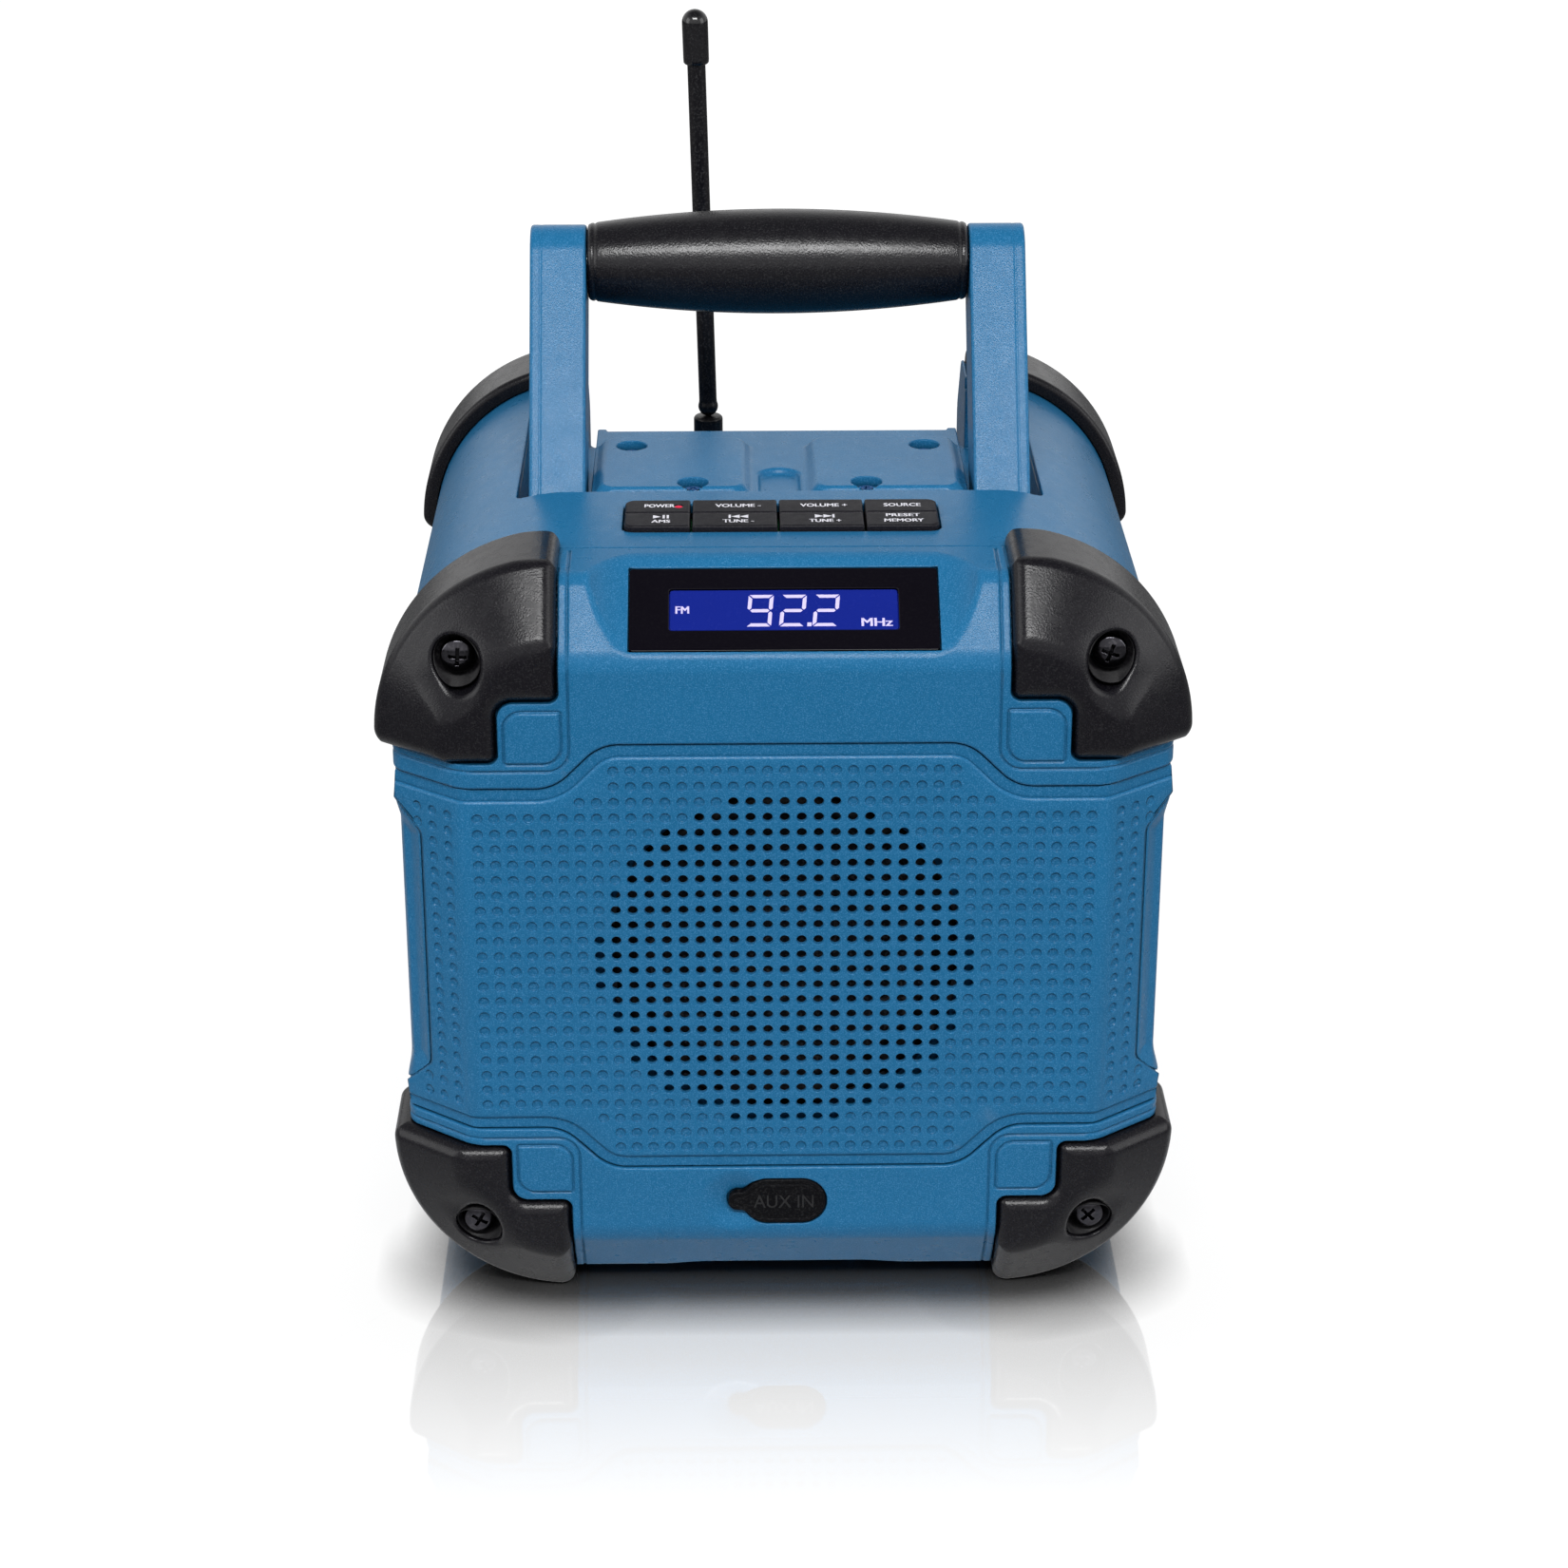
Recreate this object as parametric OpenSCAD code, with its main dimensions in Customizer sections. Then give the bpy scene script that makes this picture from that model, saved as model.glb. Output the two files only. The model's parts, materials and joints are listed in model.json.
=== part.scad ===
// Jobsite radio with a folding handle, rubber corner bumpers and a front loudspeaker.
// Millimetres. X to the radio's left-right, -Y is the front, +Z is up.
// The origin is on the resting surface, under the middle of the radio.

/* [Body] */
// Width of the blue casing without its bumpers
body_w = 208; // [200:1:220]
// Height of the blue casing without its bumpers
body_h = 209.2; // [204:1:216]
// Depth of the whole radio over the front and rear bumpers
depth = 222; // [214:1:236]
// Radius of the casing's four long corners
corner_r = 45; // [40:1:50]
// Wall of the casing shells
wall = 3; // [2.4:0.1:3.4]
// Depth of the front and rear chamfers along Y
chamfer_d = 14.3; // [10:0.1:16]
// Width of the front and rear chamfers across the face
chamfer_w = 18.8; // [15:0.1:21]
// Depth of the pockets that hold the bumpers and the grille
pocket_d = 3; // [2.4:0.1:3.6]
// Length of the front and rear shells' skirts behind their faces
skirt = 34.4; // [32:0.1:37]

/* [Bumpers] */
// How far the rubber bumpers stand out from the casing
bumper_t = 4.4; // [3:0.1:6]
// How far the bumpers stand out in front of the face
bumper_front = 1.6; // [1:0.1:3]
// Length of a bumper along Y
bumper_len = 39; // [37:0.5:42]
// Width of a bumper from the casing's side to its inner end
bumper_w = 45; // [42:0.5:48]
// Width of a bumper's narrow leg from the casing's side
bumper_leg_w = 28.8; // [26:0.2:32]
// Reach of a bumper's wide leg along Z
bumper_wide_z = 30.2; // [28:0.2:33]
// Reach of a bumper's narrow leg along Z
bumper_leg_z = 47.4; // [44:0.2:52]
// Rounding of the bumper outlines
bumper_round = 2.5; // [1:0.1:3]
// Depth of the flats that the radio stands on, under its lower bumpers
foot_flat = 0.5; // [0.3:0.1:0.8]
// Distance of a bumper screw from the casing's side
bumper_screw_side = 19; // [17:0.5:22]
// Distance of a bumper screw from the top or bottom of the casing
bumper_screw_z = 20.1; // [18:0.1:22]
// Radius of the holes that a bumper's screw head sinks in
screw_well_r = 6.5; // [5.5:0.1:7]
// Radius of a casing screw's head
screw_head_r = 4.6; // [4:0.1:5]
// Height of a casing screw's head
screw_head_h = 3.6; // [2.5:0.1:4]
// Radius of a casing screw's shank
screw_r = 2; // [1.5:0.1:2.5]
// Length of a bumper screw's shank
bumper_screw_len = 42; // [36:1:46]

/* [Display] */
// Drop of the display slope below the casing's top, at the face
slope_drop = 18.1; // [16:0.1:19]
// Length of the display slope along Y
slope_run = 28.5; // [26:0.1:31]
// Width of the display slope at the face
slope_w = 92; // [88:1:100]
// Width of the black display window
window_w = 80.6; // [70:0.1:84]
// Height of the display window along the slope
window_h = 26.5; // [22:0.1:28]
// Thickness of the display window
window_t = 2; // [1.6:0.1:2.2]
// Distance from the slope's front edge to the window
window_up = 2.7; // [2:0.1:4]
// Width of the lit part of the display
lcd_w = 60; // [50:0.5:64]
// Height of the lit part of the display
lcd_h = 12.4; // [10:0.1:14]
// Thickness of the display module
lcd_t = 4; // [3:0.1:5]

/* [Grille] */
// Width of the tall middle part of the grille
grille_mid_w = 89.2; // [80:0.2:94]
// Distance from the grille's tall middle to the casing's top and bottom
grille_mid_margin = 43.1; // [41:0.1:46]
// Width at which the grille has stepped down to its side height
grille_step_w = 123.2; // [118:0.2:130]
// Distance from the grille's sides to the casing's top and bottom
grille_side_margin = 55.4; // [53:0.1:58]
// Depth of the scoops in the grille's sides
grille_scoop_d = 7.4; // [5:0.1:9]
// Height of the grille's side tabs above and below the scoops
grille_tab_h = 14.7; // [12:0.1:18]
// Distance between the grille's holes
hole_pitch = 4.5; // [4:0.1:5]
// Rounding of the grille's steps
grille_r = 5; // [3:0.5:6]
// Radius of a grille hole
hole_r = 1.3; // [1:0.05:1.5]
// Radius of the round field of open holes
hole_field_r = 50.3; // [44:0.1:52]

/* [Keys] */
// Width of the block of eight keys
keys_w = 85; // [76:0.5:90]
// Depth of the block of eight keys along Y
keys_d = 21.6; // [18:0.2:23]
// Distance from the edge of the handle's recess forward to the middle of the keys
keys_ahead = 22.4; // [20:0.2:24]
// How far the keys stand out of the casing
key_proud = 1.5; // [1:0.1:2.5]
// Travel of a key
key_travel = 0.8; // [0.5:0.1:1]
// Gap between two keys
key_gap = 0.6; // [0.5:0.1:1]
// Radius of the key block's outer corners
key_corner_r = 3; // [2:0.5:4]

/* [Handle] */
// Distance from the middle forward to the handle's pivot
pivot_y = 18.5; // [18:0.1:19]
// Depth of the handle's pivot below the casing's top
pivot_down = 9.8; // [9:0.1:11]
// Distance from the pivot to the middle of the grip
arm_len = 73; // [71:0.2:74]
// Width of a handle arm seen from the side
arm_d = 21; // [19:0.1:21]
// Thickness of a handle arm
arm_t = 15.8; // [12:0.2:16.5]
// Distance from the casing's side to the outside of an arm
arm_side = 34.2; // [33:0.1:36]
// Backward lean of the handle from upright
handle_lean = 33.6; // [0:0.1:80]
// Radius of the grip at its middle
grip_r = 14.75; // [13:0.05:15]
// Radius of the grip at its ends
grip_end_r = 10.8; // [9:0.1:11.5]
// Radius of the steel rod inside the grip
rod_r = 4; // [3:0.1:5]
// Radius of a handle pivot pin
pivot_r = 3; // [2.6:0.1:3.2]

/* [Tray] */
// Gap between an arm and the outer side of the recess
tray_gap_out = 3.2; // [2:0.1:5]
// Gap between an arm and the tray's deck
tray_gap_in = 1.4; // [1:0.1:2]
// Gap between the upright handle and the front edge of the recess
tray_gap_front = 0.4; // [0.3:0.1:1]
// Gap between the folded grip and the drop behind the tray's deck
deck_gap = 4.75; // [4:0.05:6]
// Depth of the tray's deck below the casing's top
deck_down = 3; // [2:0.1:4]
// Gap under an arm folded into its slot
slot_gap = 1.7; // [1:0.1:3]
// Gap under the grip folded into its notch
notch_gap = 4.05; // [3:0.05:6]
// Drop of the notch's floor towards the rear face
notch_drop = 8; // [6:0.5:9]
// Thickness of the tray's walls
tray_t = 2.6; // [2:0.1:3]
// Distance from the middle to the inner side of a raised block
block_in = 8; // [6:0.5:10]
// Distance from the middle back to the rear side of a raised block
block_back = 20; // [16:0.5:24]
// Width of the groove in front of the raised blocks
block_groove = 1.4; // [1:0.1:2]
// Radius of the raised blocks' rear corners
block_r = 4; // [2:0.5:6]
// Radius of the tray screws' recesses
tray_well_r = 4.3; // [3.6:0.1:4.6]
// Distance of the rear tray screws from the deck's side
tray_screw_side = 10.6; // [8:0.2:14]
// Distance of the front tray screws from the middle
tray_screw_front_x = 24.2; // [20:0.2:28]
// Distance from the middle back to the rear tray screws
tray_screw_y = 10.4; // [8:0.2:14]
// Distance from the middle forward to the front tray screws
tray_screw_front_y = 22; // [20:0.2:23]

/* [Antenna] */
// Distance from the middle to the antenna, towards the left seen from the front
antenna_x = 20.5; // [16:0.5:30]
// Distance from the rear seam back to the antenna
antenna_back = 10; // [8:0.5:12]
// Radius of the rubber antenna rod
antenna_r = 2.75; // [2:0.05:3.5]
// Length of the antenna above its collar
antenna_len = 124.5; // [100:0.5:150]
// Radius of the antenna's tip cap
antenna_tip_r = 3.85; // [3:0.05:4.5]
// Length of the antenna's tip cap
antenna_tip_len = 16; // [12:0.5:20]
// Radius of the antenna's collar
antenna_collar_r = 4.45; // [4:0.05:5]
// Lean of the antenna to the left seen from the front
antenna_lean = 1.4; // [0:0.1:4]

/* [Sockets] */
// Width of a rubber socket flap without its tab
flap_w = 22.8; // [20:0.2:26]
// Height of a rubber socket flap
flap_h = 13.7; // [12:0.1:15]
// Thickness of a socket flap
flap_t = 2.4; // [2:0.1:2.8]
// Length of the flap's pull tab
flap_tab = 4.2; // [3:0.1:6]
// Height of the sound input socket above the casing's bottom
aux_z = 29.4; // [27:0.1:31]
// Radius of the sound input socket's bore
aux_bore_r = 1.8; // [1.7:0.05:2]
// Depth of the sound input socket's bore
aux_bore_len = 14; // [10:0.5:15]
// Distance from the middle to the power socket, on the rear
dc_x = 34; // [0:0.5:36]
// Height of the power socket above the battery door's top edge
dc_up = 9; // [8.5:0.1:12]
// Radius of the power socket's bore
dc_bore_r = 2.85; // [2.7:0.05:3]
// Depth of the power socket's bore
dc_bore_len = 9; // [8:0.5:11]

/* [Batteries] */
// Radius of a battery cell
cell_r = 13.1; // [13.1:0.1:13.4]
// Length of a battery cell
cell_len = 50; // [49:0.5:51]
// Height of the battery door's hinge above the lower bumpers' top edge
door_up = 4.4; // [4:0.1:6]
// Thickness of the battery door
door_t = 2.8; // [2.4:0.1:2.9]
// Radius of the battery door's hinge barrel
hinge_r = 3; // [2.8:0.1:3.2]
// Radius of the battery door's hinge pin
hinge_pin_r = 1.4; // [1.2:0.1:1.6]
// Radius of the battery door's coin screw
coin_r = 6; // [5:0.1:7]

/* [Loudspeaker] */
// Radius of the loudspeaker's mounting flange
speaker_r = 54; // [52:0.5:56]
// Radius of the opening in front of the loudspeaker
speaker_open_r = 48; // [46:0.5:49]
// Depth of the loudspeaker from its flange to the back of its magnet
speaker_d = 44; // [38:0.5:52]
// Radius of the loudspeaker's magnet
magnet_r = 30; // [24:0.5:34]
// Thickness of the loudspeaker's magnet
magnet_t = 16; // [12:0.5:18]

/* [Circuit boards] */
// Width of the main circuit board
board_w = 110; // [90:1:120]
// Depth of the main circuit board along Y
board_d = 90; // [70:1:100]
// Height of the main circuit board above the casing's floor
board_up = 12; // [8:0.5:16]
// Thickness of every circuit board
board_t = 1.6; // [1:0.1:2]

/* [Fits] */
// Gap round pieces that are seated in a pocket
seat_gap = 0.3; // [0.2:0.05:0.4]
// Radial clearance of a pin or shank in its hole
pin_gap = 0.05; // [0.03:0.01:0.08]

/* [Hidden] */
$fn = 48;

blue = [0.16, 0.40, 0.58];
black = [0.11, 0.11, 0.12];
steel = [0.72, 0.73, 0.75];
far = 400;
eps = 0.01;

// Levels and planes of the casing
floor_z = bumper_t;
top_z = floor_z + body_h;
mid_z = floor_z + body_h / 2;
half_w = body_w / 2;
face_y = depth / 2 - bumper_front;
seat_y = face_y - pocket_d;
inner_y = seat_y - wall;
seam_y = face_y - skirt;
rim_y = face_y - chamfer_d;

// Bumpers and grille, from the casing's sides, top and bottom
bumper_in = half_w - bumper_w;
bumper_leg_in = half_w - bumper_leg_w;
bumper_screw_x = half_w - bumper_screw_side;
grille_mid_h = body_h - 2 * grille_mid_margin;
grille_side_h = body_h - 2 * grille_side_margin;
grille_scoop_h = grille_side_h - 2 * grille_tab_h;
grille_scoop_x = half_w - grille_scoop_d;

// Display slope
slope_a = atan2(slope_drop, slope_run);
slope_z = top_z - slope_drop;
lcd_up = window_up + window_h / 2;

// Handle, and the tray that it folds into
pivot_z = top_z - pivot_down;
arm_in = half_w - arm_side - arm_t;
tray_x = arm_in + arm_t + tray_gap_out;
tray_front = pivot_y + arm_d / 2 + tray_gap_front;
deck_x = arm_in - tray_gap_in;
deck_back = arm_len - pivot_y - grip_r - deck_gap;
slot_z = pivot_z - arm_d / 2 - slot_gap;
notch_z = pivot_z - grip_r - notch_gap;
deck_z = top_z - deck_down;
tray_screw_x = deck_x - tray_screw_side;
keys_y = tray_front + keys_ahead;

// Batteries: three rows of two cells, lying across the radio
cell_gap = 0.8;
spring_room = 4;
bay_w = 2 * cell_len + 2 * spring_room;
bay_h = 3 * (2 * cell_r + cell_gap) + cell_gap;
hinge_z = floor_z + bumper_wide_z + door_up;
bay_z = hinge_z + hinge_r + 1;
case_t = 2;
bay_back = face_y - door_t - seat_gap;
bay_front = bay_back - 2 * cell_r - 2 * seat_gap;
hinge_y = face_y - hinge_r;
door_w = bay_w + 4;
door_margin = 12;
door_top = bay_z + bay_h + door_margin;
door_ear = 5;
dc_z = door_top + dc_up;

// ---------------------------------------------------------------- shapes

// Extrudes an XZ outline along Y
module along_y(y0, y1) {
  translate([0, y1, 0]) rotate([90, 0, 0]) linear_extrude(y1 - y0) children();
}

// Extrudes a YZ outline along X
module along_x(x0, x1) {
  translate([x0, 0, 0]) rotate([90, 0, 90]) linear_extrude(x1 - x0) children();
}

// Turns a solid that stands along Z so that it points back along +Y
module pointing_back(p) {
  translate(p) rotate([-90, 0, 0]) children();
}

module box(x0, x1, y0, y1, z0, z1) {
  translate([x0, y0, z0]) cube([x1 - x0, y1 - y0, z1 - z0]);
}

// Rectangle with true round corners, centred
module round_rect(w, h, r) {
  square([w - 2 * r, h], center = true);
  square([w, h - 2 * r], center = true);
  for (sx = [-1, 1], sy = [-1, 1])
    translate([sx * (w / 2 - r), sy * (h / 2 - r)]) circle(r);
}

// Cross-section of the casing, drawn in by an inset
module section(inset = 0) {
  translate([0, mid_z])
    round_rect(body_w - 2 * inset, body_h - 2 * inset, corner_r - inset);
}

// The front half of the casing as a solid with a chamfered face at y = -face
module front_form(inset, face) {
  hull() {
    along_y(-face + chamfer_d, 0) section(inset, $fn = 32);
    along_y(-face, -face + 0.1) section(inset + chamfer_w, $fn = 32);
  }
}

module rear_half() {
  mirror([0, 1, 0]) children();
}

// Places a child in all four corners of the face
module four_corners() {
  for (side = [0, 1], low = [0, 1])
    corner_place(side, low) children();
}

// Top right corner to any corner: side 1 is the left, low 1 is the bottom
module corner_place(side, low) {
  translate([0, 0, low * 2 * mid_z]) mirror([0, 0, low]) mirror([side, 0, 0]) children();
}

// L-shaped outline of the top right bumper
module bumper_outline(grow = 0) {
  offset(r = grow) offset(r = bumper_round) offset(r = -2 * bumper_round)
    offset(r = bumper_round) {
      translate([bumper_in, top_z - bumper_wide_z]) square([far, far]);
      translate([bumper_leg_in, top_z - bumper_leg_z]) square([far, far]);
    }
}

// Outline of the grille
module grille_outline(grow = 0) {
  out = body_w;
  hy = grille_side_h / 2;
  hm = grille_mid_h / 2;
  translate([0, mid_z]) difference() {
    offset(r = grow) offset(r = grille_r) offset(r = -2 * grille_r) offset(r = grille_r)
      polygon([
        [-out, -hy], [-grille_step_w / 2, -hy], [-grille_mid_w / 2, -hm],
        [grille_mid_w / 2, -hm], [grille_step_w / 2, -hy], [out, -hy],
        [out, hy], [grille_step_w / 2, hy], [grille_mid_w / 2, hm],
        [-grille_mid_w / 2, hm], [-grille_step_w / 2, hy], [-out, hy]
      ]);
    for (side = [0, 1]) mirror([side, 0]) grille_scoop(grow);
  }
}

// Scoop that the grille leaves free on the casing's side
module grille_scoop(grow = 0) {
  slant = half_w - grille_scoop_x;
  h = grille_scoop_h / 2 - grow;
  x = grille_scoop_x + grow;
  polygon([[x, -h], [x + slant, -h - slant], [far, -h - slant],
           [far, h + slant], [x + slant, h + slant], [x, h]]);
}

module screw(head_r, head_h, shank_r, shank_len) {
  difference() {
    cylinder(r = head_r, h = head_h);
    translate([0, 0, -eps]) for (a = [0, 90]) rotate(a)
      translate([-head_r * 0.6, -head_r * 0.1, 0]) cube(head_r * [1.2, 0.2, 0.4]);
  }
  translate([0, 0, head_h]) cylinder(r = shank_r, h = shank_len);
}

// ---------------------------------------------------------------- casing

post_r = screw_well_r + 2;
well_floor_y = seat_y - 7.5;

// Posts that the bumper screws pass through
module screw_posts(r, y0, y1) {
  four_corners() pointing_back([bumper_screw_x, y0, top_z - bumper_screw_z])
    cylinder(r = r, h = y1 - y0);
}

module display_place() {
  translate([0, -face_y, slope_z]) rotate([slope_a, 0, 0]) children();
}

// The space cut off above the display slope
module display_cut() {
  flare = 14;
  flare_h = 12;
  hull() {
    display_place() box(-slope_w / 2, slope_w / 2, -far / 8, slope_run * 2, 0, 0.1);
    display_place() box(-slope_w / 2 - flare, slope_w / 2 + flare, -far / 8, slope_run * 2,
                        flare_h, far / 10);
  }
}

// Outlines of all four bumpers' pockets
module all_bumper_outlines() {
  for (side = [0, 1], low = [0, 1])
    translate([0, low * 2 * mid_z]) mirror([0, low]) mirror([side, 0])
      bumper_outline(seat_gap);
}

// Front or rear shell: child 0 stays solid inside it, child 1 outlines its pockets
module front_shell() {
  difference() {
    intersection() {
      front_form(0, face_y);
      box(-far, far, -far, -seam_y, -far, far);
    }
    difference() {
      front_form(wall, inner_y);
      screw_posts(post_r, -face_y, 0);
      children(0);
    }
    difference() {
      children(1);
      front_form(0, seat_y);
    }
    screw_posts(screw_well_r, -face_y - 1, -well_floor_y);
    screw_posts(screw_r + pin_gap, -face_y, 1);
  }
}

// Pad behind a socket's flap, which carries the socket
module socket_pad() {
  box(-flap_w / 2 - flap_tab - wall, flap_w / 2 + wall, 0, pad_d,
      -flap_h / 2 - wall, flap_h / 2 + wall);
}

// Low cut-out in the middle of the front's lower edge
foot_cut_out = 35.8;
foot_cut_in = 26.4;
foot_cut_h = 2.6;
foot_cut_d = 4;

module front_bezel() color(blue) {
  difference() {
    front_shell() {
      union() {
        display_place() box(-far, far, -far, far, -wall - window_t, far);
        front_flap_place() socket_pad();
      }
      along_y(-depth, -seam_y / 2) {
        all_bumper_outlines();
        grille_outline(seat_gap);
      }
    }
    display_cut();
    display_place() translate([0, lcd_up, 0]) {
      box(-window_w / 2 - seat_gap, window_w / 2 + seat_gap,
          -window_h / 2 - seat_gap, window_h / 2 + seat_gap, -window_t, 1);
      box(-lcd_w / 2 - 1 - seat_gap, lcd_w / 2 + 1 + seat_gap,
          -lcd_h / 2 - 1 - seat_gap, lcd_h / 2 + 1 + seat_gap, -far / 20, 1);
    }
    pointing_back([0, -depth, mid_z]) cylinder(r = speaker_open_r, h = depth);
    speaker_screw_points() cylinder(r = speaker_screw_r + pin_gap, h = 2 * wall, center = true);
    front_flap_place() flap_pocket();
    front_flap_place() socket_hole(aux_jack_r, aux_jack_len);
    along_y(-depth, -rim_y + foot_cut_d) polygon([
      [-foot_cut_out, floor_z - 1], [-foot_cut_out, floor_z],
      [-foot_cut_in, floor_z + foot_cut_h], [foot_cut_in, floor_z + foot_cut_h],
      [foot_cut_out, floor_z], [foot_cut_out, floor_z - 1]]);
    seal_groove(-seam_y);
  }
}

module grille_holes() {
  rows = floor(hole_field_r / hole_pitch);
  for (i = [-rows - 1 : rows]) {
    z = (i + 0.5) * hole_pitch;
    half = hole_field_r * hole_field_r - z * z;
    cols = half < 0 ? -1 : floor(sqrt(half) / hole_pitch);
    if (cols >= 0) for (j = [-cols : cols]) translate([j * hole_pitch, mid_z + z])
      circle(hole_r, $fn = 16);
  }
}

module speaker_grille() color(blue) {
  difference() {
    intersection() {
      front_form(0, face_y);
      along_y(-depth, -rim_y) difference() {
        grille_outline();
        grille_holes();
      }
    }
    front_form(0, seat_y);
  }
}

// Ring groove in a seam, and the seal that lies in it
module seam_ring(y0, y1, grow) {
  along_y(y0, y1) difference() {
    section(0.6 - grow);
    section(wall - 0.6 + grow);
  }
}

seal_d = 1.6;

module seal_groove(y) {
  seam_ring(y - seal_d / 2 - seat_gap / 2, y + seal_d / 2 + seat_gap / 2, 0.1);
}

module front_seal() color(black) {
  seam_ring(-seam_y - seal_d / 2, -seam_y + seal_d / 2, 0);
}

module rear_seal() color(black) {
  difference() {
    seam_ring(seam_y - seal_d / 2, seam_y + seal_d / 2, 0);
    box(-tray_x - seat_gap, tray_x + seat_gap, 0, far, notch_z, far);
  }
}

boss_r = 6;
boss_len = 26;
board_post_r = 4;
shelf_x = deck_x - 2 * tray_t - 1;
shelf_z = slot_z - 10;
tray_boss_r = 4;

module main_housing() color(blue) {
  difference() {
    union() {
      difference() {
        along_y(-seam_y, seam_y) difference() {
          section();
          section(wall);
        }
        box(-tray_x, tray_x, -tray_front, far, notch_z, far);
        keys_area(seat_gap, top_z - wall - 1, top_z + 1);
      }
      intersection() {
        along_y(-seam_y, seam_y) section();
        union() {
          housing_bosses();
          rear_half() housing_bosses();
          board_posts();
        }
      }
      keypad_ribs();
      tray_shelf();
    }
    screw_posts(screw_r + pin_gap, -seam_y - 1, -seam_y + boss_len - 2);
    rear_half() screw_posts(screw_r + pin_gap, -seam_y - 1, -seam_y + boss_len - 2);
    seal_groove(-seam_y);
    seal_groove(seam_y);
    board_points() translate([0, 0, floor_z + wall]) cylinder(r = 1.2, h = board_up + 1);
  }
}

// Bosses that the bumper screws bite into
module housing_bosses() {
  screw_posts(boss_r, -seam_y, -seam_y + boss_len);
}

module board_points() {
  for (x = [-1, 1], y = [-1, 1])
    translate([x * (board_w / 2 - 6), y * (board_d / 2 - 6), 0]) children();
}

module board_posts() {
  board_points() translate([0, 0, floor_z + wall / 2])
    cylinder(r = board_post_r, h = board_up + wall / 2);
}

// Shelf under the tray, with the bosses for the tray's screws
module tray_shelf() {
  back = deck_back - 2 * tray_t;
  difference() {
    union() {
      box(-shelf_x, shelf_x, -tray_front - wall, -tray_front, shelf_z, top_z - wall + eps);
      box(-shelf_x, shelf_x, -tray_front - wall, back, shelf_z - wall, shelf_z);
      for (p = tray_screw_points()) translate([p[0], p[1], shelf_z - eps])
        cylinder(r = tray_boss_r, h = deck_z - tray_t - shelf_z + eps);
    }
    for (p = tray_screw_points()) translate([p[0], p[1], shelf_z + 2])
      cylinder(r = tray_shank_r + pin_gap, h = far);
  }
}

// ---------------------------------------------------------------- tray

notch_x = bumper_in - 1.2;
tray_seat_z = deck_z - 0.6;
tray_head_h = 2;
tray_shank_r = 1.6;
tray_screw_len = 14;
finger_r = 5;
finger_len = 14;
finger_d = 1.6;

module handle_tray() color(blue) {
  front = -tray_front + seat_gap;
  difference() {
    union() {
      // Deck with its two raised blocks
      box(-deck_x, deck_x, front, deck_back, deck_z - tray_t, deck_z);
      // Notch for the grip
      box(-deck_x, deck_x, deck_back - tray_t, deck_back, notch_z - tray_t, deck_z);
      box(-deck_x, deck_x, deck_back - tray_t, seam_y, notch_z - tray_t, notch_z);
      for (side = [0, 1]) mirror([side, 0, 0]) {
        translate([0, 0, deck_z - eps]) linear_extrude(deck_down + eps) tray_block();
        box(deck_x - tray_t, deck_x, front, deck_back, slot_z - tray_t, deck_z);
        box(deck_x - tray_t, deck_x, deck_back - tray_t, seam_y, notch_z - tray_t, slot_z);
        arm_slot();
        pivot_boss();
      }
    }
    // Finger scoop between the blocks
    translate([0, front + finger_len, deck_z - finger_d]) cylinder(r = finger_r, h = far);
    box(-finger_r, finger_r, front + tray_t, front + finger_len, deck_z - finger_d, far);
    tray_wells();
    for (side = [0, 1]) mirror([side, 0, 0]) translate([0, -pivot_y, pivot_z])
      across(pivot_r + pin_gap, 0, far);
  }
}

// Channel that an arm folds into, under the casing's skin at its sides
module arm_slot() {
  out = tray_x + tray_t;
  front = -tray_front - tray_t;
  intersection() {
    union() {
      box(deck_x - tray_t, out, front, seam_y, slot_z - tray_t, slot_z);
      box(deck_x - tray_t, out, front, -tray_front, slot_z - tray_t, far);
      box(tray_x, out, front, seam_y, slot_z - tray_t, far);
    }
    along_y(-seam_y, seam_y) section(wall + seat_gap);
  }
  // Wall that closes the channel at the rear, beside the notch
  intersection() {
    box(notch_x, out, seam_y - tray_t, seam_y, slot_z - tray_t, far);
    along_y(-seam_y, seam_y) section(wall + seat_gap);
  }
}

// Thickened lug that carries a pivot pin's inner end
module pivot_boss() {
  box(deck_x - 2 * tray_t, deck_x, -pivot_y - 8, -pivot_y + 8, slot_z, deck_z - tray_t + eps);
}

module tray_block() {
  x1 = deck_x - block_groove / 2;
  x0 = block_in;
  y0 = -tray_front + seat_gap + block_groove;
  y1 = block_back;
  translate([(x0 + x1) / 2, (y0 + y1) / 2]) {
    translate([0, -block_r]) square([x1 - x0, y1 - y0 - 2 * block_r], center = true);
    round_rect(x1 - x0, y1 - y0, block_r);
  }
}

function tray_screw_points() = [
  [tray_screw_x, tray_screw_y], [-tray_screw_x, tray_screw_y],
  [tray_screw_front_x, -tray_screw_front_y], [-tray_screw_front_x, -tray_screw_front_y]
];

module tray_wells() {
  for (p = tray_screw_points()) translate([p[0], p[1], 0]) {
    translate([0, 0, tray_seat_z]) cylinder(r = tray_well_r, h = far);
    cylinder(r = tray_shank_r + pin_gap, h = far);
  }
}

module tray_screws() color(steel) {
  for (p = tray_screw_points()) translate([p[0], p[1], tray_seat_z]) mirror([0, 0, 1])
    translate([0, 0, -tray_head_h])
      screw(tray_well_r - 1, tray_head_h, tray_shank_r, tray_screw_len);
}

// ---------------------------------------------------------------- bumpers

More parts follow.
